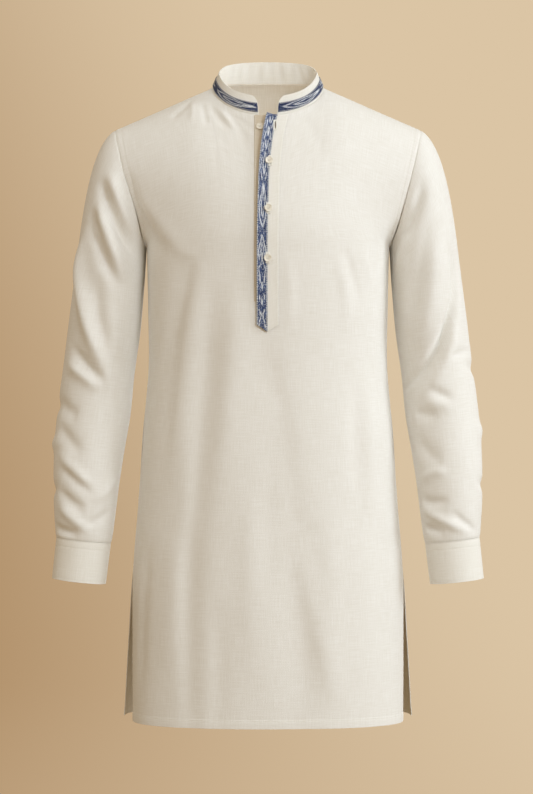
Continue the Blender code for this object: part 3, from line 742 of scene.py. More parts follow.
LEFT_SLEEVE_CREASES = (
    ("front", 238, -140, 224, -194, 195, -238, 10, 8, -6.8),
    ("front", 218, -224, 206, -256, 194, -290, 8, 8, 4.6),
    ("front", 252, -190, 232, -284, 214, -366, 14, 12, -3.8),
    ("front", 258, -220, 249, -326, 226, -412, 18, 16, 5.4),
    ("front", 268, -226, 286, -340, 226, -470, 9, 7, -11.5),
    ("front", 286, -322, 256, -408, 196, -478, 6, 6, -11),
    ("front", 292, -360, 270, -432, 222, -496, 12, 12, 6),
    ("front", 276, -420, 292, -412, 316, -408, 6, 7, -3.2),
    ("front", 244, -462, 264, -474, 286, -480, 6, 7, -3.8),
    ("front", 236, -480, 260, -490, 290, -494, 8, 9, 3),
    ("front", 226, -500, 243, -507, 262, -504, 9, 9, -4.1),
    ("front", 226, -536, 246, -566, 268, -576, 12, 9, -4.1),
    ("front", 232, -612, 252, -594, 276, -598, 7, 8, 3.8),
    ("front", 232, -632, 252, -640, 278, -634, 6, 7, -4.9),
    ("front", 234, -646, 263, -666, 312, -688, 7, 6, 4.9),
    ("front", 236, -672, 251, -682, 272, -685, 6, 6, -5.7),
    ("front", 278, -652, 300, -670, 322, -686, 5, 6, -3.5),
    ("outer", -50, -420, -10, -436, 30, -426, 10, 10, -3.7),
    ("outer", -54, -520, -16, -530, 24, -512, 10, 12, 3.4),
    ("outer", -60, -600, -28, -614, 12, -600, 9, 9, -3.4),
    ("back", 244, -136, 230, -205, 204, -268, 12, 12, -6),
    ("back", 264, -190, 254, -290, 230, -376, 12, 14, 5.3),
    ("back", 222, -410, 250, -448, 292, -464, 12, 10, -5.7),
    ("back", 226, -456, 256, -486, 304, -498, 10, 10, 4.6),
    ("back", 232, -540, 260, -560, 298, -560, 10, 10, -3.7),
    ("back", 238, -610, 270, -646, 308, -664, 8, 10, -4.4),
    ("back", 244, -650, 280, -676, 318, -688, 8, 6, 3.4),
)
print("right sleeve:", len(RIGHT_SLEEVE_CREASES), "creases; left:", len(LEFT_SLEEVE_CREASES))

# %% [markdown]
# ## Laying a crease
# A path is bent through its three points and dropped on the surface. Each point of the cloth then
# looks for the nearest spot of the path, and moves along its own normal by a bell curve of that
# distance. A displacement texture would do the same with less control over where a crease ends.

# %% Laying a crease
PATH_SAMPLES = 25
CREASE_FADE = 0.38              # share of a path over which it fades in, and out
CREASE_REACH = 2.6              # widths from its path at which it has died away


def crease_path(points, normals, face, row):
    """The crease's path laid on the surface: a curve snapped to its points and smoothed."""
    flat_points, flat_normals = points.reshape(-1, 3), normals.reshape(-1, 3)
    outwards = np.sign(points[..., 0].mean())
    axis, sign = {"front": (1, -1), "back": (1, 1), "outer": (0, outwards)}[face]
    near = flat_points[flat_normals[:, axis] * sign > 0.15]
    across = 0 if axis == 1 else 1
    ends = []
    for a, z in (row[0:2], row[2:4], row[4:6]):
        found = near[np.argmin((near[:, across] - a) ** 2 + (near[:, 2] - z) ** 2)].copy()
        found[across], found[2] = a, z
        ends.append(found)
    t = np.linspace(0, 1, PATH_SAMPLES)[:, None]
    bend = 2 * ends[1] - (ends[0] + ends[2]) / 2
    path = ends[0] * (1 - t) ** 2 + bend * 2 * t * (1 - t) + ends[2] * t**2
    inside = path[:, 2] > flat_points[:, 2].min()
    for k in np.nonzero(inside)[0]:
        nearest = np.argmin(((near[:, (across, 2)] - path[k, (across, 2)]) ** 2).sum(1))
        path[k, 1 - across] = near[nearest, 1 - across]
    for _ in range(3):
        path[1:-1] = (path[:-2] + 2 * path[1:-1] + path[2:]) / 4
    return path


def creased(points, normals, tables, at=None, at_normals=None):
    """The points moved along their normals by all creases, whose paths lie on the first surface."""
    at = points if at is None else at
    at_normals = normals if at_normals is None else at_normals
    spot, out = at.reshape(-1, 3), at_normals.reshape(-1, 3)
    total = np.zeros(len(spot))
    for face, *row in tables:
        row = [number / 1000 for number in row]
        left, right, height = row[6:]
        path = crease_path(points, normals, face, row)
        reach = CREASE_REACH * max(left, right)
        within = (spot > path.min(0) - reach) & (spot < path.max(0) + reach)
        close = np.nonzero(np.all(within, axis=1))[0]
        if not len(close):
            continue
        best = np.full(len(close), 1e9)
        share = np.zeros(len(close))
        offset, forward = np.zeros((2, len(close), 3))
        for k in range(PATH_SAMPLES - 1):
            run = path[k + 1] - path[k]
            along = np.clip((spot[close] - path[k]) @ run / (run @ run), 0, 1)
            off = spot[close] - path[k] - along[:, None] * run
            distance = (off**2).sum(1)
            nearer = distance < best
            best = np.where(nearer, distance, best)
            share = np.where(nearer, (k + along) / (PATH_SAMPLES - 1), share)
            offset[nearer] = off[nearer]
            forward[nearer] = run
        to_left = np.einsum("ij,ij->i", np.cross(out[close], forward), offset) > 0
        width = np.where(to_left, left, right)
        fade = np.clip(share / CREASE_FADE, 0, 1) * np.clip((1 - share) / CREASE_FADE, 0, 1)
        total[close] += height * np.sin(fade * math.pi / 2) ** 1.5 * bell(np.sqrt(best), width)
    return at + at_normals * total.reshape(at.shape[:-1])[..., None]


def with_face(face, rows):
    return [(face, *row) for row in rows]


print("each path is laid through", PATH_SAMPLES, "points")

# %% [markdown]
# ## Materials
# **Linen.** Its yarns swell and thin along their length, so fine streaks run both ways through the
# cloth. The shader works in the cut's own flat coordinates, in metres: noise stretched along the
# warp and along the weft gives the slubs, a fine weave raises the surface, and a little sheen
# stands for loose fibre ends.

# %% Linen
LINEN_PALE = (0.865, 0.848, 0.812, 1)
LINEN_DEEP = (0.765, 0.735, 0.678, 1)
YARN = 0.00075                  # from one yarn to the next


def linen(name, pale=LINEN_PALE, deep=LINEN_DEEP, slub=1.0):
    made, shader, uv = new_material(name, 0.86, Specular_IOR_Level=0.22, Sheen_Weight=0.10,
                                    Sheen_Roughness=0.5)
    warp = uv.scaled(1 / (1.3 * YARN), 34.0).noise(2.0)
    weft = uv.scaled(36.0, 1 / (1.3 * YARN)).noise(2.0)
    fine = uv.scaled(900.0, 900.0).noise(1.0)
    cloudy = uv.scaled(22.0, 16.0).noise(3.0)
    thick = warp.ramp(0.34, 0.72) * 0.5 + weft.ramp(0.34, 0.72) * 0.5
    thread_x = (uv.part("X") * (2 * math.pi / YARN)).math("SINE")
    thread_y = (uv.part("Y") * (2 * math.pi / YARN)).math("SINE")
    weave = thread_x * thread_y
    tone = thick * (0.48 * slub) + fine * 0.22 + cloudy * 0.16 + weave * 0.03
    plug(tone.ramp(0.00, 0.80).mix(deep, pale), shader, "Base Color")
    plug(tone.ramp(0.1, 0.9, 0.92, 0.80), shader, "Roughness")
    bump(thick * 0.7 + weave * 0.22 + fine * 0.35, shader, 0.00022, 0.5)
    return made


CLOTH_LINEN = linen("slub linen")
TURNED_LINEN = linen("slub linen, doubled", (0.870, 0.852, 0.805, 1), (0.780, 0.748, 0.680, 1), 0.8)
# painted shade: the under placket's linen is a deeper tan, standing in for the shadow that the upper
# placket's raised edge casts on it
PAINTED_SHADE_LINEN = linen("slub linen, painted shade", (0.700, 0.615, 0.490, 1), (0.600, 0.515, 0.400, 1), 0.8)
print("cloths:", "; ".join(cloth.name for cloth in (CLOTH_LINEN, TURNED_LINEN, PAINTED_SHADE_LINEN)))

# %% [markdown]
# **Ikat ribbon.** In ikat the warp is tied and dyed before it is woven, so a figure's edges are
# feathered along the threads: each thread lies a little too high or too low. The shader does the
# same. It draws diamonds, chevrons and small crosses from plain distances, after shifting each
# thread by its own random step, and weaves pale weft flecks into the indigo.

# %% Ikat
INDIGO_DARK = (0.012, 0.022, 0.075, 1)
INDIGO_MID = (0.095, 0.145, 0.310, 1)
IKAT_PALE = (0.80, 0.82, 0.84, 1)
IKAT_REPEAT = 0.330             # along the ribbon
IKAT_THREAD = 0.00045
# The figure's strokes: along and across of the start, along and across of the end, and half width,
# all in millimetres. Both sides of the ribbon's middle are alike.
IKAT_STROKES = (
    (5, 5.4, 13, 3.8, 0.8), (14, 4.4, 25, 0.6, 0.8), (24, 0.6, 34, 4.4, 0.8),
    (40, 0.0, 49, 0.3, 1.0), (48, 3.3, 56, 3.9, 0.8),
    (63, 0.0, 74, 0.3, 1.0), (74, 3.1, 85, 3.8, 0.9),
    (84, 3.6, 94, 5.4, 0.55), (94, 5.4, 106, 0.6, 0.55), (105, 0.0, 119, 0.1, 1.1),
    (107, 4.4, 123, 5.8, 0.55), (122, 5.8, 144, 0.1, 0.75), (114, 3.4, 132, 0.6, 0.55),
    (155, 0.1, 171, 4.4, 0.75), (170, 4.3, 190, 5.6, 0.55), (190, 5.4, 222, 0.6, 0.55),
    (170, 0.4, 190, 2.8, 0.6), (189, 2.8, 206, 0.8, 0.5), (205, 0.0, 219, 0.1, 1.1),
    (227, 2.2, 240, 4.6, 0.55), (235, 0.2, 252, 2.4, 0.7),
    (251, 2.4, 270, 0.6, 0.6), (244, 5.6, 262, 4.6, 0.5),
    (275, 0.4, 289, 2.2, 0.7), (270, 5.2, 286, 4.0, 0.5),
    (290, 4.8, 304, 3.2, 0.6), (296, 0.4, 310, 1.4, 0.8),
    (308, 4.0, 322, 5.2, 0.6), (316, 0.8, 327, 2.6, 0.7),
)


def ikat(name, wear=(0.34, 0.54), haze=1.0):
    """Ribbon cloth; `wear` is where in a noise the pale threads come up whole, `haze` the flecks."""
    made, shader, uv = new_material(name, 0.80, Specular_IOR_Level=0.25, Sheen_Weight=0.06,
                                    Sheen_Roughness=0.5)
    along, across = uv.part("X"), uv.part("Y")
    thread = (across / IKAT_THREAD).math("FLOOR")
    step = thread.node("ShaderNodeTexWhiteNoise", {"W": thread}, noise_dimensions="1D") - 0.5
    drift = uv.scaled(30.0, 1 / IKAT_THREAD).noise(1.0) - 0.5
    place = along + step * 0.0034 + drift * 0.007
    y = (place / IKAT_REPEAT).math("FRACT") * (IKAT_REPEAT * 1000)
    c = across.math("ABSOLUTE") * 1000.0

    def stroke(start, from_middle, end, to_middle, half_width):
        """1 on a stroke and 0 off it, with a soft edge."""
        slope = (to_middle - from_middle) / (end - start)
        off = (c - (y * slope + (from_middle - start * slope))).math("ABSOLUTE")
        beyond = (y - (start + end) / 2).math("ABSOLUTE")
        half = (end - start) / 2
        return off.ramp(half_width * 1.5, half_width * 0.6) * beyond.ramp(half + 0.6, half - 1.2)

    figure = stroke(*IKAT_STROKES[0])
    for one in IKAT_STROKES[1:]:
        figure = figure.math("MAXIMUM", stroke(*one))
    worn = uv.scaled(300.0, 1 / IKAT_THREAD).noise(2.0)
    figure = figure * worn.ramp(*wear, 0.20, 1.0)
    streak = uv.scaled(80.0, 1 / IKAT_THREAD).noise(2.0)
    weft = uv.scaled(0.8 / IKAT_THREAD, 400.0).noise(1.0)
    fleck = (streak * 0.6 + weft * 0.4).ramp(0.44, 0.60)
    ground = (fleck * haze).mix(INDIGO_DARK, INDIGO_MID)
    picks = uv.scaled(430.0, 620.0).noise(1.0)
    selvedge = c.ramp(6.2, 6.8) * (along * 2400.0).math("SINE").ramp(-0.1, 0.6)
    flecked = (picks.ramp(0.53, 0.64) * (streak * 0.8 + 0.06) + selvedge * 0.55) * haze
    plug(figure.math("MAXIMUM", flecked).mix(ground, IKAT_PALE), shader, "Base Color")
    rib = (across * (2 * math.pi / IKAT_THREAD)).math("SINE")
    bump(rib * 0.5 + weft * 0.6 + figure * 0.3, shader, 0.00022, 0.6)
    return made


RIBBON_IKAT = ikat("ikat ribbon")
COLLAR_IKAT = ikat("ikat ribbon, collar", wear=(0.38, 0.50), haze=0.30)
print(len(IKAT_STROKES), "strokes drawn in each", round(1000 * IKAT_REPEAT), "mm of ribbon")

# %% [markdown]
# **Thread and shell.** Sewing thread is a shade paler than the linen and a little glossier. The
# buttons are cut from river shell: cream, faintly banded, with a low polish.

# %% Thread and shell
def thread_material():
    made, shader, _ = new_material("cream thread", 0.62, Specular_IOR_Level=0.4)
    twist = object_place(made).scaled(2600.0, 2600.0, 2600.0).noise(0.0)
    plug(twist.ramp(0.3, 0.7).mix((0.78, 0.75, 0.67, 1), (0.91, 0.89, 0.84, 1)), shader, "Base Color")
    return made


def shell_material():
    made, shader, _ = new_material("cream shell", 0.30, Specular_IOR_Level=0.5, Coat_Weight=0.25,
                                   Coat_Roughness=0.25)
    bands = object_place(made).scaled(160.0, 160.0, 420.0).noise(3.0)
    colour = bands.ramp(0.32, 0.70).mix((0.76, 0.69, 0.57, 1), (0.88, 0.84, 0.75, 1))
    plug(colour, shader, "Base Color")
    plug(bands.ramp(0.3, 0.7, 0.38, 0.26), shader, "Roughness")
    bump(bands, shader, 0.0001, 0.3)
    return made


THREAD, SHELL = thread_material(), shell_material()
print("materials:", THREAD.name, "and", SHELL.name)

# %% [markdown]
# ## Sheets of cloth
# A sheet is a grid of points with the same grid on the flat cut, so the weave runs where a cutter
# would lay it. Grid lines crowd together beside seams and stitching, where the cloth has small
# steps, and spread out elsewhere.

# %% Sheets
def spread(length, marks, step, fine=0.0009):
    """Distances from 0 to length: even steps, with fine lines on and beside each mark."""
    near = [mark + k * fine for mark in marks for k in (-2, -1, 0, 1, 2)]
    close = {round(place, 6) for place in near if 0 < place < length}
    out = [0.0]
    for stop in sorted(close) + [length]:
        count = max(1, round((stop - out[-1]) / step))
        out += list(np.linspace(out[-1], stop, count + 1)[1:])
    return np.array(out)


def sheet(name, points, flat, wall, outwards, finish, closed=False, left_out=None):
    """A cloth wall on a grid of points; flat has a further column where the grid is closed."""
    rows, columns = points.shape[:2]
    across = columns if closed else columns - 1
    r, c = np.meshgrid(np.arange(rows - 1), np.arange(across), indexing="ij")
    if left_out is not None:
        r, c = r[~left_out], c[~left_out]
    r, c = r.ravel(), c.ravel()
    corners = ((r, c), (r, c + 1), (r + 1, c + 1), (r + 1, c))
    faces = np.stack([i * columns + j % columns for i, j in corners], axis=-1)
    used, faces = np.unique(faces, return_inverse=True)
    points = points.reshape(-1, 3)[used]
    piece = new_piece(name, points.tolist(), faces.reshape(-1, 4).tolist(), finish)
    cut = piece.data.uv_layers.new(name="flat cut")
    cut.data.foreach_set("uv", np.stack([flat[i, j] for i, j in corners], axis=1).ravel())
    solid = piece.modifiers.new("wall", "SOLIDIFY")
    solid.thickness, solid.offset, solid.use_even_offset = wall, 1.0 if outwards else -1.0, True
    edge = piece.modifiers.new("rolled edge", "BEVEL")
    edge.width, edge.segments = wall * 0.32, 2
    edge.limit_method, edge.angle_limit = "ANGLE", math.radians(50)
    return piece


def finish_cloth(piece, nodes):
    """Tells the frame what a finished sheet is."""
    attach(piece, "root")
    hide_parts(*nodes)


def mirrored(grid):
    """The same grid on the -X side, with its outer side still outside."""
    return (grid * np.array((-1.0, 1.0, 1.0)))[:, ::-1]


print("grid lines round a seam at 10 mm:", [round(1000 * d, 1) for d in spread(0.02, (0.01,), 0.004)])


# %% [markdown]
# ## Front and back
# Each panel is one sheet. Its edges sink where they are seamed, and a line of stitching pulls a
# small furrow. The hem and the slits' edges are turned under twice, so they are thicker: the cloth
# steps up by half a millimetre where the turning ends. The front is slashed down the middle, and
# the plackets bind the slash.

# %% Front and back
HEM_TURN = 0.013
SLIT_TURN = 0.007
ARMHOLE_STITCH = 0.010          # from the seam to the row of stitches beside it
POCKET_STITCH = 0.017
SHOULDER_STITCH = 0.0065
EDGE_STITCH = 0.0014            # from the inner edge of a turning to its stitches
TURN_STEP = 0.0018              # over which the cloth steps up at a turning
SEAM_SINK, SEAM_WIDTH = 0.0006, 0.0020
YOKE_CUT = 0.235                # flat height of a panel above the underarm
PANEL_STEP = 0.0036             # between the rows of a panel's grid


def furrow(distance, depth=0.00030, width=0.0012):
    """The small furrow that a row of stitches pulls."""
    return depth * bell(distance, width)


def turned_edge(inwards, turn, rise, dip):
    """A step up where the turning ends, and the furrow of its stitches."""
    step = 1 - ease((inwards - turn + TURN_STEP / 2) / TURN_STEP)
    return rise * step - furrow(inwards - turn + EDGE_STITCH, dip, 0.0011)


def sewn_height(u, v, z):
    """Seams, furrows and turned edges of a panel, as a height over its smooth form."""
    side = (1 - np.abs(u)) * HALF_ROUND
    top = (2 - v) * YOKE_CUT
    hem = z - HEM_Z
    slit = z < SLIT_TOP_Z
    shoulder = ease((np.abs(u) - NECK_SPAN) / 0.03)
    height = np.where(slit, 0.0, -SEAM_SINK * bell(side, SEAM_WIDTH))
    height = height - SEAM_SINK * bell(top, SEAM_WIDTH) * shoulder
    height += turned_edge(hem, HEM_TURN, 0.00045, 0.00030)
    height += turned_edge(side, SLIT_TURN, 0.00040, 0.00028) * slit
    height -= furrow(side - ARMHOLE_STITCH) * ease((v - 1.0) / 0.02)
    height -= furrow(top - SHOULDER_STITCH) * (np.abs(u) > NECK_SPAN)
    pocket = (z < POCKET_TOP_Z + 0.006) & (z > POCKET_LOW_Z - 0.006)
    height -= furrow(side - POCKET_STITCH) * pocket
    return height


def panel_grid(side):
    marks = (0.0018, SLIT_TURN, ARMHOLE_STITCH, POCKET_STITCH)
    from_side = spread(HALF_ROUND - SLOT_HALF, marks, 0.0042)
    half = (1 - from_side / HALF_ROUND)[::-1]
    middle = np.linspace(-half[0], half[0], 7)[1:-1]
    u = np.concatenate((-half[::-1], middle, half))
    marks = (0.0018, HEM_TURN - EDGE_STITCH, HEM_TURN, SLOT_END_Z - HEM_Z)
    low = spread(PIT_Z - HEM_Z, marks, PANEL_STEP) / (PIT_Z - HEM_Z)
    high = 1 - spread(YOKE_CUT, (0.0018, SHOULDER_STITCH), PANEL_STEP)[::-1] / YOKE_CUT
    v = np.concatenate((low, 1 + high[1:]))
    return np.meshgrid(v, u, indexing="ij")


PANELS = {}
for side, rows in (("front", FRONT_CREASES), ("back", BACK_CREASES)):
    v, u = panel_grid(side)
    smooth, normal = smooth_panel(u, v, side), panel_normal(u, v, side)
    PANELS[side] = (smooth, normal, with_face(side, rows))


def on_panel(u, v, side, lift=0.0):
    """Points of the finished panel with its creases and sewing, lifted off it, and their normals."""
    u, v = np.broadcast_arrays(np.asarray(u, float), np.asarray(v, float))
    smooth, normal, table = PANELS[side]
    point, out = smooth_panel(u, v, side), panel_normal(u, v, side)
    height = sewn_height(u, v, point[..., 2]) + lift
    return creased(smooth, normal, table, point, out) + out * height[..., None], out


def panel(side):
    v, u = panel_grid(side)
    points, _ = on_panel(u, v, side)
    height = np.where(v < 1, v * (PIT_Z - HEM_Z), PIT_Z - HEM_Z + (v - 1) * YOKE_CUT)
    flat = stack(u * HALF_ROUND, height, 0.0)[..., :2]
    left_out = None
    if side == "front":
        row = v[:-1, :-1] > (SLOT_END_Z - HEM_Z) / (PIT_Z - HEM_Z) - 1e-6
        left_out = row & (np.abs(u[:-1, :-1] + u[:-1, 1:]) / 2 < SLOT_HALF / HALF_ROUND)
    else:
        points, flat = points[:, ::-1], flat[:, ::-1]
    return sheet(f"{side}_cloth", points, flat, CLOTH, False, CLOTH_LINEN, left_out=left_out)


front = panel("front")
back = panel("back")
print("the front has", len(front.data.polygons), "faces and the back", len(back.data.polygons))

# %% [markdown]
# ## Sleeves and cuffs
# The sleeve is a tube whose head is set into the armhole. Both sleeves have the same cut, yet each
# arm has creased its own. The cuff is a doubled band with a row of stitches under its seam and
# another lower down.

# %% Sleeves and cuffs
CUFF_STITCH_ROWS = (0.0020, 0.0120, 0.0600)   # below the cuff's top
ROUND_COLUMNS = 112
HEAD_LENGTH, ARM_LENGTH = 0.20, 0.40    # metres for each unit of w, at the armhole and at the cuff
SLEEVE_CUT = 0.32               # flat length of a sleeve for each unit of w
SLEEVE_ROUND_CUT, CUFF_ROUND_CUT = 0.058, 0.040     # flat widths for each radian round the arm
ALLOWANCE = 0.005               # of the sleeve's edge that runs on under the panel


def sleeve_grid():
    head, arm = spread(1.0, (0.010,), 0.020, 0.006), 1 + spread(1.0, (0.994,), 0.009, 0.003)
    w = np.concatenate((head[:-1], arm))
    phi = np.linspace(0, 2 * math.pi, ROUND_COLUMNS, endpoint=False)
    return np.meshgrid(w[::-1], phi, indexing="ij")


def sleeve_surface(phi, w, mirror):
    """Smooth points and outward normals of a sleeve, by differences."""
    point = sleeve_point(phi, w)
    around = sleeve_point(phi + NUDGE, w) - sleeve_point(phi - NUDGE, w)
    lower, upper = (sleeve_point(phi, np.clip(w + d, 0, 2)) for d in (NUDGE, -NUDGE))
    down = lower - upper
    normal = unit(np.cross(down, around))
    if mirror:
        point, normal = point * (-1, 1, 1), normal * (-1, 1, 1)
    return point, normal


def edge_shift(phi, hand):
    """How far the panels' creases move their armhole edge, so that the sleeve's edge can follow."""
    height = armhole(phi)[..., 2]
    shift = np.zeros(phi.shape + (3,))
    for side, here in (("front", phi <= math.pi), ("back", phi > math.pi)):
        smooth, normal, table = PANELS[side]
        v = np.linspace(1, 2, 80)
        u = np.full_like(v, hand)
        edge = smooth_panel(u, v, side)
        moved = creased(smooth, normal, table, edge, panel_normal(u, v, side)) - edge
        order = np.argsort(edge[:, 2])
        for axis in range(3):
            found = np.interp(height, edge[order, 2], moved[order, axis])
            shift[..., axis] = np.where(here, found, shift[..., axis])
    return shift


def sleeve(name, mirror, table):
    w, phi = sleeve_grid()
    point, normal = sleeve_surface(phi, w, mirror)
    made = creased(point, normal, table)
    sink = -SEAM_SINK * (bell(w * HEAD_LENGTH, SEAM_WIDTH) + bell((2 - w) * ARM_LENGTH, 0.0025))
    made = made + normal * sink[..., None]
    made = made + edge_shift(phi, -1 if mirror else 1) * np.exp(-(w[..., None] / 0.25)**2)
    turned_in = made[-1] + unit(made[-1] - made[-2]) * ALLOWANCE - normal[-1] * (CLOTH + GAP)
    made = np.concatenate((made, turned_in[None]))
    along = np.append(-w[:, 0] * SLEEVE_CUT, ALLOWANCE)
    turn = np.append(phi[0], 2 * math.pi)
    flat = np.stack(np.meshgrid(along, turn * SLEEVE_ROUND_CUT, indexing="ij")[::-1], axis=-1)
    if mirror:
        made, flat = made[:, ::-1], flat[:, ::-1]
    return sheet(name, made, flat, CLOTH, False, CLOTH_LINEN, closed=True)


def cuff_point(phi, z, lift=0.0):
    point = ring_point(CUFF, phi, z)
    around = ring_point(CUFF, phi + 0.01, z) - ring_point(CUFF, phi - 0.01, z)
    normal = unit(np.cross(around, np.broadcast_to((0.0, 0.0, 1.0), around.shape)))
    down = CUFF_TOP_Z - z
    height = lift - sum(furrow(down - row, 0.00028, 0.0011) for row in CUFF_STITCH_ROWS)
    return point + normal * np.asarray(height)[..., None], normal


def cuff(name, mirror):
    down = spread(CUFF_TOP_Z - CUFF_BOTTOM_Z, (0.0012, *CUFF_STITCH_ROWS), 0.0036)
    phi = np.linspace(0, 2 * math.pi, ROUND_COLUMNS, endpoint=False)
    z, phi = np.meshgrid((CUFF_TOP_Z - down)[::-1], phi, indexing="ij")
    points, _ = cuff_point(phi, z)
    turn = np.append(phi[0], 2 * math.pi)
    flat = np.stack(np.meshgrid(z[:, 0], turn * CUFF_ROUND_CUT, indexing="ij")[::-1], axis=-1)
    if mirror:
        points, flat = mirrored(points), flat[:, ::-1]
    return sheet(name, points, flat, CLOTH, False, TURNED_LINEN, closed=True)


left_sleeve = sleeve("left_sleeve_cloth", False, LEFT_SLEEVE_CREASES)
right_sleeve = sleeve("right_sleeve_cloth", True, RIGHT_SLEEVE_CREASES)
left_cuff = cuff("left_cuff_cloth", False)
right_cuff = cuff("right_cuff_cloth", True)
for piece in (left_sleeve, left_cuff):
    print(piece.name, "has", len(piece.data.polygons), "faces")

# %% [markdown]
# ## Collar band and plackets
# The band is two layers with a stiffener between them, so it stands by itself and hardly creases.
# The ribbon is sewn on it between a narrow margin below and a wider one above. The plackets lie on
# the front panel, each lifted by the layers under it.

# %% Collar band and plackets
SEARCH_ROUNDS, SEARCH_STEP = 12, 0.002


def on_front(x, z, lift=0.0):
    """Point of the creased front above (x, z), lifted off it, and its normal."""
    x, z = np.broadcast_arrays(np.asarray(x, float), np.asarray(z, float))
    u, v = x / HALF_ROUND, np.where(z < PIT_Z, (z - HEM_Z) / (PIT_Z - HEM_Z), 1 + (z - PIT_Z) / 0.2)
    for _ in range(SEARCH_ROUNDS):
        here = smooth_panel(u, v, "front")
        du = (smooth_panel(u + SEARCH_STEP, v, "front") - here) / SEARCH_STEP
        dv = (smooth_panel(u, v - SEARCH_STEP, "front") - here) / -SEARCH_STEP
        miss_x, miss_z = x - here[..., 0], z - here[..., 2]
        det = du[..., 0] * dv[..., 2] - dv[..., 0] * du[..., 2]
        u = u + (miss_x * dv[..., 2] - miss_z * dv[..., 0]) / det
        v = np.clip(v + (miss_z * du[..., 0] - miss_x * du[..., 2]) / det, 0.0, 2.0)
    smooth, normal, table = PANELS["front"]
    point, out = smooth_panel(u, v, "front"), panel_normal(u, v, "front")
    return creased(smooth, normal, table, point, out) + out * np.asarray(lift, float)[..., None], out


LAYER = GAP + RIBBON
PLACKET_CUT = 0.325             # flat length of the upper placket
STAND_SCALE = 1.25              # of the loose side, for the stand in its table
BAND_LENGTH, BAND_HEIGHT = 0.405, 0.032
COLLAR_FIGURE_START = 0.150     # where in the figure the collar's ribbon was cut


def placket_middle(z):
    return read(PLACKET_LINE, 1, z)


def placket_height(k, r):
    """z on the upper placket: k runs -1 to 1 across it, r 0 to 1 from its pointed end to its top."""
    end = PLACKET_POINT_Z + np.abs(k) * (PLACKET_SIDE_END_Z - PLACKET_POINT_Z)
    return end + r * (PLACKET_TOP_Z - end)


def placket_point(k, r, lift):
    """Point of the upper placket, whose loose side curls away from the front, and its normal."""
    z = placket_height(k, r)
    share = np.clip((-k - PLACKET_STAND_FROM) / (1 - PLACKET_STAND_FROM), 0, 1) ** 1.6
    stand = share * np.interp(z, *np.array(PLACKET_STAND).T)
    return on_front(placket_middle(z) + k * PLACKET_HALF, z, lift + stand * STAND_SCALE)


def band(name, heights, lift, inset, wall, outwards, finish):
    s = spread(1.0, (0.004, 0.996), 0.007, 0.002)
    h, s = np.meshgrid(heights, s, indexing="ij")
    points = band_point(s, h, np.full_like(s, lift), inset)
    from_middle = (h - sum(BAND_TRIM) / 2) * BAND_HEIGHT
    flat = stack(COLLAR_FIGURE_START + s * BAND_LENGTH, from_middle, 0.0)[..., :2]
    return sheet(name, points, flat, wall, outwards, finish)


collar_heights = np.concatenate((np.linspace(0, 0.9, 19), (0.93, 0.96, 0.98, 1.0)))
collar = band("collar_cloth", collar_heights, 0.0, 0.0, CLOTH, False, TURNED_LINEN)
collar_ribbon = band("collar_ribbon", np.linspace(*BAND_TRIM, 8), GAP, 0.001, RIBBON, True,
                     COLLAR_IKAT)

across = UNDER_PLACKET[0] + spread(UNDER_PLACKET[1] - UNDER_PLACKET[0], (0.002,), 0.0035)
z, x = np.meshgrid(np.linspace(SLOT_END_Z, PLACKET_TOP_Z, 90), across, indexing="ij")
points, _ = on_front(x, z, GAP)
# the under placket gets the linen with painted shade
under = sheet("under_placket_cloth", points, stack(x, z, 0.0)[..., :2], RIBBON, True, PAINTED_SHADE_LINEN)

r, k = np.meshgrid(np.linspace(0, 1, 110), np.linspace(-1, 1, 13), indexing="ij")
flat = stack(k * PLACKET_HALF, r * PLACKET_CUT, 0.0)[..., :2]
points, _ = placket_point(k, r, LAYER + GAP)
upper = sheet("upper_placket_cloth", points, flat, RIBBON, True, TURNED_LINEN)

r, k = np.meshgrid(np.linspace(0, 1, 150), np.linspace(-1, 0, 9), indexing="ij")
flat = stack(placket_height(k, r) - PLACKET_POINT_Z, (k + 0.5) * PLACKET_HALF, 0.0)[..., :2]
points, _ = placket_point(k, r, 2 * LAYER + GAP)
placket_ribbon = sheet("placket_ribbon", points, flat, RIBBON, True, RIBBON_IKAT)
print("the band's ribbon is", round(1000 * BAND_HEIGHT * (BAND_TRIM[1] - BAND_TRIM[0])), "mm high")

# %% [markdown]
# ## Stitches
# Every visible row of stitching is laid stitch by stitch. One stitch is a short grain of thread,
# thicker in the middle, whose ends dip into the cloth. A row is the same grain repeated along a
# path, all in one mesh.

# %% Stitches
STITCH_PITCH, STITCH_LENGTH, STITCH_RADIUS = 0.0031, 0.0025, 0.00023
BAR_PITCH = 0.0016              # where a row is worked densely
THREAD_LIFT = 0.0001


def grain(length, radius, rings=5, sides=6):
    """Points and faces of one stitch along X, with Z out of the cloth."""
    x = np.linspace(-0.5, 0.5, rings)
    swell = np.sqrt(np.clip(1 - (2 * x) ** 2 * 0.92, 0, 1))
    angle = np.linspace(0, 2 * math.pi, sides, endpoint=False)
    points = np.array([(a * length, math.cos(b) * radius * s * 1.25,
                        (math.sin(b) * s + 0.5 * s - 0.2) * radius)
                       for a, s in zip(x, swell) for b in angle])
    ends = [tuple(range(sides)), tuple(range((rings - 1) * sides, rings * sides))[::-1]]
    return points, tube_faces(rings, sides) + ends


def along_path(path, normals, pitch):
    """Middles, directions and normals at even steps along a polyline."""
    arc = np.concatenate(([0.0], np.cumsum(np.linalg.norm(np.diff(path, axis=0), axis=1))))
    at = np.arange(pitch / 2, arc[-1], pitch)
    middle = np.stack([np.interp(at, arc, path[:, i]) for i in range(3)], axis=1)
    ahead = np.stack([np.interp(at + pitch / 4, arc, path[:, i]) for i in range(3)], axis=1)
    behind = np.stack([np.interp(at - pitch / 4, arc, path[:, i]) for i in range(3)], axis=1)
    out = unit(np.stack([np.interp(at, arc, normals[:, i]) for i in range(3)], axis=1))
    return middle, unit(ahead - behind), out


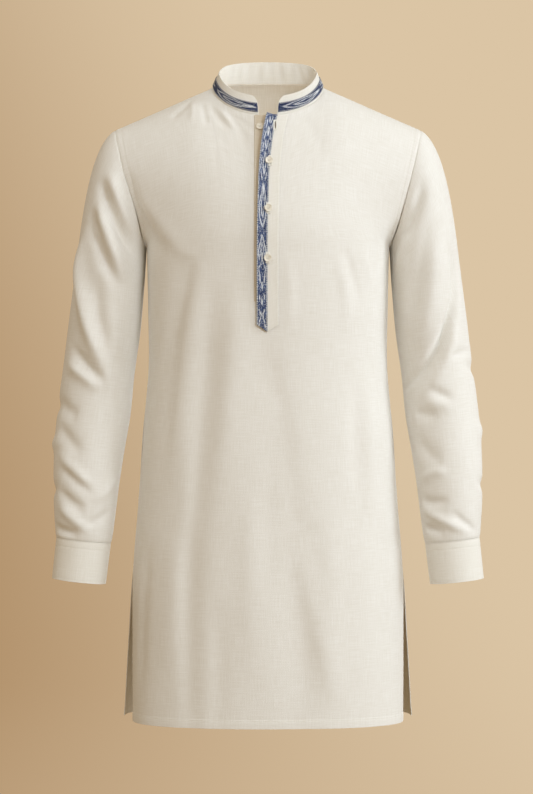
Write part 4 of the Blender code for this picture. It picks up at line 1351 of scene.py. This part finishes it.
def grains(name, rows, length=STITCH_LENGTH, radius=STITCH_RADIUS, crosswise=False):
    """One mesh of stitches; rows are (middles, directions, normals)."""
    middle, forward, out = (np.concatenate(part) for part in zip(*rows))
    if crosswise:
        forward = unit(np.cross(out, forward))
    aside = unit(np.cross(out, forward))
    shape, faces = grain(length, radius)
    axes = np.stack((forward, aside, out), axis=1)
    points = middle[:, None] + (shape[None, :, :, None] * axes[:, None]).sum(2)
    firsts = range(0, len(middle) * len(shape), len(shape))
    all_faces = [tuple(first + i for i in face) for first in firsts for face in faces]
    piece = new_piece(name, points.reshape(-1, 3).tolist(), all_faces, THREAD)
    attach(piece, "root")
    return piece


def row(surface, pitch=STITCH_PITCH):
    return along_path(surface[0].reshape(-1, 3), surface[1].reshape(-1, 3), pitch)


def count(rows):
    return sum(len(middles) for middles, _, _ in rows)


def flipped(surface):
    return surface[0] * (-1, 1, 1), surface[1] * (-1, 1, 1)


def beside(metres):
    """u of a line that runs a distance in from the side seam or the armhole."""
    return 1 - metres / HALF_ROUND


print("a stitch has", len(grain(STITCH_LENGTH, STITCH_RADIUS)[0]), "points")

# %% [markdown]
# ## Rows on the panels
# Rows run round the hem and the slits, beside the armholes and along the shoulders. In front two
# more rows close the pocket bags, with short slanting bars where the openings end.

# %% Rows on the panels
full = np.linspace(0, 1, 160)
hem_v = (HEM_TURN - EDGE_STITCH) / (PIT_Z - HEM_Z)
slit_v = (SLIT_TOP_Z - HEM_Z) / (PIT_Z - HEM_Z)
pocket_v = [(z - HEM_Z) / (PIT_Z - HEM_Z) for z in (POCKET_LOW_Z - 0.002, POCKET_TOP_Z + 0.010)]
shoulder_u, shoulder_v = NECK_SPAN + 0.02 + full * (0.96 - NECK_SPAN), 2 - SHOULDER_STITCH / YOKE_CUT
slit_top = beside(np.linspace(0.0005, SLIT_TURN - EDGE_STITCH, 6))
body_rows, back_rows = [], []


def panel_row(u, v, side, pitch=STITCH_PITCH):
    return row(on_panel(u, v, side, THREAD_LIFT), pitch)


for side, rows in (("front", body_rows), ("back", back_rows)):
    rows.append(panel_row(full * 1.94 - 0.97, hem_v, side))
    for hand in (-1, 1):
        rows.append(panel_row(hand * beside(SLIT_TURN - EDGE_STITCH), full * slit_v, side))
        rows.append(panel_row(hand * beside(ARMHOLE_STITCH), 1.0 + full * 0.985, side))
        rows.append(panel_row(hand * shoulder_u, shoulder_v, side))
        rows.append(panel_row(hand * slit_top, slit_v, side, BAR_PITCH))
bar = np.linspace(0.004, POCKET_STITCH, 12)
for hand in (-1, 1):
    down = pocket_v[1] + (pocket_v[0] - pocket_v[1]) * full
    body_rows.append(panel_row(hand * beside(POCKET_STITCH), down, "front"))
    for end in pocket_v:
        slant = end + (bar - POCKET_STITCH) * 0.35
        body_rows.append(panel_row(hand * beside(bar), slant, "front", BAR_PITCH))
front_stitches = grains("front_stitches", body_rows)
back_stitches = grains("back_stitches", back_rows)
print(count(body_rows), "stitches in front and", count(back_rows), "behind")

# %% [markdown]
# ## Rows on the cuffs, the collar and the plackets
# The same rows go where a band is closed and where a ribbon is held: one along each of its edges.

# %% Rows on the cuffs, the collar and the plackets
turn = np.linspace(0, 2 * math.pi, 120)
cuff_rows = [cuff_point(turn, np.full_like(turn, CUFF_TOP_Z - down), THREAD_LIFT)
             for down in CUFF_STITCH_ROWS]
left_cuff_stitches = grains("left_cuff_stitches", [row(r) for r in cuff_rows])
right_cuff_stitches = grains("right_cuff_stitches", [row(flipped(r)) for r in cuff_rows])


def on_band(s, h, lift):
    s, h = np.broadcast_arrays(np.asarray(s, float), np.asarray(h, float))
    point = band_point(s, h, np.full_like(s, lift))
    return point, unit(band_point(s, h, np.full_like(s, lift + 0.001)) - point)


collar_rows = [row(on_band(full * 0.996 + 0.002, 0.06, THREAD_LIFT)),
               row(on_band(full * 0.985 + 0.0075, 0.93, THREAD_LIFT)),
               row(on_band(full * 0.990 + 0.005, BAND_TRIM[0] + 0.035, LAYER)),
               row(on_band(full * 0.990 + 0.005, BAND_TRIM[1] - 0.035, LAYER))]
collar_stitches = grains("collar_stitches", collar_rows)

BOX_END = 0.145                 # r where the placket's stitched box ends
OVER_CLOTH, OVER_RIBBON = 2 * LAYER, 3 * LAYER      # lifts on the upper placket and its ribbon
placket_rows = [row(placket_point(np.full_like(full, 0.87), full, OVER_CLOTH)),
                row(placket_point(np.linspace(0.06, 0.85, 20), np.full(20, BOX_END), OVER_CLOTH)),
                row(placket_point(np.full_like(full, 0.06), full * BOX_END + 0.005, OVER_CLOTH)),
                row(placket_point(np.full_like(full, -0.94), full * 0.995, OVER_RIBBON)),
                row(placket_point(np.full_like(full, -0.07), full * 0.995, OVER_RIBBON)),
                row(on_front(np.full_like(full, UNDER_PLACKET[0] + 0.002),
                             SLOT_END_Z + full * (PLACKET_TOP_Z - SLOT_END_Z), LAYER))]
placket_stitches = grains("placket_stitches", placket_rows)
print(count(collar_rows), "stitches on the collar and", count(placket_rows), "on the plackets")

# %% [markdown]
# ## Buttonholes
# A buttonhole is a slit whose edges are bound with satin stitch: threads laid side by side across
# the edge, with a bar at each end. The top one stands open, because its button is undone, and its
# opening is a dark sheet of painted shade.

# %% Buttonholes
HOLE_LENGTH = 0.0135
HOLE_BINDING = 0.0026           # length of one thread across the edge
HOLE_EDGE = 0.0019              # from the slit's middle line to the middle of its binding
HOLE_BAR = 0.0028               # half width of the bar at each end
SATIN_PITCH = 0.00042


def buttonhole(name, x, z, lift):
    half = np.linspace(-0.5, 0.5, 30)
    across = np.linspace(-1, 1, 8)
    bar_from_middle = HOLE_LENGTH / 2 + 0.0004
    paths = [on_front(x + hand * HOLE_EDGE, z + half * HOLE_LENGTH, lift) for hand in (-1, 1)]
    paths += [on_front(x + across * HOLE_BAR, z + end * bar_from_middle, lift) for end in (-1, 1)]
    rows = [row(path, SATIN_PITCH) for path in paths]
    return grains(name, rows, length=HOLE_BINDING, radius=0.00030, crosswise=True)


def slit_shade_material():
    made, shader, _ = new_material("slit shade", 0.95, Specular_IOR_Level=0.1)
    grain_noise = object_place(made).scaled(700.0, 700.0, 700.0).noise(1.0)
    # painted shade: near-black browns for the shadow inside the open slit
    plug(grain_noise.mix((0.10, 0.075, 0.05, 1), (0.20, 0.155, 0.11, 1)), shader, "Base Color")
    return made


def open_slit(name, x, z, lift):
    """A thin lens of painted shade: a dark sheet laid on the ribbon for the shadowed opening between
    the bound edges.
    """
    t, k = np.meshgrid(np.linspace(-1, 1, 24), np.linspace(-1, 1, 5), indexing="ij")
    points, _ = on_front(x + k * 0.0009 * (1 - t**2) ** 0.6, z + t * HOLE_LENGTH * 0.46, lift)
    flat = stack(k * 0.001, t * 0.01, 0.0)[..., :2]
    piece = sheet(name, points, flat, 0.0001, True, slit_shade_material())
    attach(piece, "root")
    return piece


def hole_x(z):
    return float(placket_middle(np.array(z))) + 0.0006


hole_z = BUTTONS[0][1] + 0.0015
holes = [buttonhole("buttonhole_1", hole_x(hole_z), hole_z, OVER_RIBBON)]
open_slit("buttonhole_slit", hole_x(hole_z), hole_z, OVER_RIBBON + 0.00008)
for number, (x, z) in enumerate(BUTTONS[1:], 2):
    holes.append(buttonhole(f"buttonhole_{number}", hole_x(z), z, OVER_RIBBON))
print(len(holes), "buttonholes of", round(1000 * HOLE_LENGTH, 1), "mm")

# %% [markdown]
# ## A button
# A four-hole button is turned from a blank: here a cylinder, whose face is inset and sunk to leave
# a rim, whose edges are rounded by a bevel, and which is drilled by four thin cylinders.

# %% A button
RIM, RIM_SLOPE, FACE_SUNK = 0.00095, 0.00055, 0.00062
DRILL_RADIUS, DRILL_FROM_MIDDLE = 0.00066, 0.0015


def button_mesh():
    bpy.ops.object.select_all(action="DESELECT")
    bpy.ops.mesh.primitive_cylinder_add(vertices=64, radius=BUTTON_RADIUS, depth=BUTTON_THICK,
                                        location=(0, 0, BUTTON_THICK / 2))
    blank = bpy.context.active_object
    bpy.ops.object.transform_apply(location=True, rotation=True, scale=True)

    def pick(test):
        bpy.ops.object.mode_set(mode="OBJECT")
        for face in blank.data.polygons:
            face.select = test(face)
        bpy.ops.object.mode_set(mode="EDIT")

    bpy.ops.object.mode_set(mode="EDIT")
    bpy.ops.mesh.select_mode(type="FACE")
    bpy.ops.mesh.select_all(action="DESELECT")
    pick(lambda face: face.normal.z > 0.9)
    bpy.ops.mesh.inset(thickness=RIM)
    bpy.ops.mesh.inset(thickness=RIM_SLOPE)
    bpy.ops.transform.translate(value=(0, 0, -FACE_SUNK))
    bpy.ops.mesh.inset(thickness=0.0011)
    bpy.ops.transform.translate(value=(0, 0, -0.00012))
    pick(lambda face: face.normal.z < -0.9)
    bpy.ops.transform.resize(value=(0.84, 0.84, 1.0))
    bpy.ops.object.mode_set(mode="OBJECT")
    cutters = []
    for quarter in range(4):
        angle = math.pi / 4 + quarter * math.pi / 2
        x, y = DRILL_FROM_MIDDLE * math.cos(angle), DRILL_FROM_MIDDLE * math.sin(angle)
        bpy.ops.mesh.primitive_cylinder_add(vertices=20, radius=DRILL_RADIUS, depth=4 * BUTTON_THICK,
                                            location=(x, y, 0))
        cutters.append(bpy.context.active_object)
    for cutter in cutters:
        cut = blank.modifiers.new("hole", "BOOLEAN")
        cut.operation, cut.object, cut.solver = "DIFFERENCE", cutter, "EXACT"
    soft = blank.modifiers.new("soft edges", "BEVEL")
    soft.width, soft.segments = 0.00022, 3
    soft.limit_method, soft.angle_limit = "ANGLE", math.radians(28)
    bpy.ops.object.select_all(action="DESELECT")
    blank.select_set(True)
    bpy.context.view_layer.objects.active = blank
    for modifier in list(blank.modifiers):
        bpy.ops.object.modifier_apply(modifier=modifier.name)
    mesh = blank.data
    mesh.materials.clear()
    mesh.materials.append(SHELL)
    mesh.shade_smooth()
    for spent in (*cutters, blank):
        bpy.data.objects.remove(spent)
    return mesh


button_blank = button_mesh()
print("a button has", len(button_blank.polygons), "faces")

# %% [markdown]
# ## Sewing the buttons on
# Each button gets a copy of the mesh, turned to lie flat on the cloth under it. Three threads cross
# its face from hole to hole. The top button is undone, so it lies on the under placket; the others
# lie on the buttonholes.

# %% Sewing the buttons on
BUTTON_TURNS = (12, -20, 35, 8)      # degrees: no two are sewn on alike
CROSSINGS = (((-1, -1), (1, -1)), ((-1, 1), (1, 1)), ((-1, 1), (1, -1)))   # from hole to hole
THREAD_FROM_MIDDLE = 0.00112
face_height = BUTTON_THICK - FACE_SUNK
button_pieces = []
for number, (x, z) in enumerate(BUTTONS):
    lift = (LAYER if number == 0 else OVER_RIBBON) + GAP
    seat, out = (Vector(part.tolist()) for part in on_front(x, z, lift))
    mesh = button_blank.copy()
    stand = out.to_track_quat("Z", "Y").to_matrix().to_4x4()
    turn = Matrix.Rotation(math.radians(BUTTON_TURNS[number]), 4, "Z")
    place = Matrix.Translation(seat) @ stand @ turn
    mesh.transform(place)
    piece = in_scene(f"button_{number + 1}_shell", mesh)
    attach(piece, "root")
    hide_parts(f"button_{number + 1}")
    button_pieces.append(piece)
    crossing = []
    for ends in CROSSINGS:
        a, b = (place @ Vector((THREAD_FROM_MIDDLE * x, THREAD_FROM_MIDDLE * y, face_height))
                for x, y in ends)
        crossing.append((np.array([(a + b) / 2]), unit(np.array([b - a])), np.array([out])))
    button_pieces.append(grains(f"button_{number + 1}_thread", crossing, 0.0026, 0.00026))
print(len(button_pieces), "pieces for", len(BUTTONS), "buttons")

# %% [markdown]
# ## Hand-over
# Each sheet, which carries its flat cut as a UV map, is hung on the frame's root, and the CAD
# solids that it stands for are hidden.

# %% Hand-over
finish_cloth(front, ["front_panel"])
finish_cloth(back, ["back_panel"])
finish_cloth(left_sleeve, ["sleeve_left"])
finish_cloth(right_sleeve, ["sleeve_right"])
finish_cloth(left_cuff, ["cuff_left"])
finish_cloth(right_cuff, ["cuff_right"])
finish_cloth(collar, ["collar_band"])
finish_cloth(collar_ribbon, ["collar_trim"])
finish_cloth(under, ["under_placket"])
finish_cloth(upper, ["upper_placket"])
finish_cloth(placket_ribbon, ["placket_trim"])
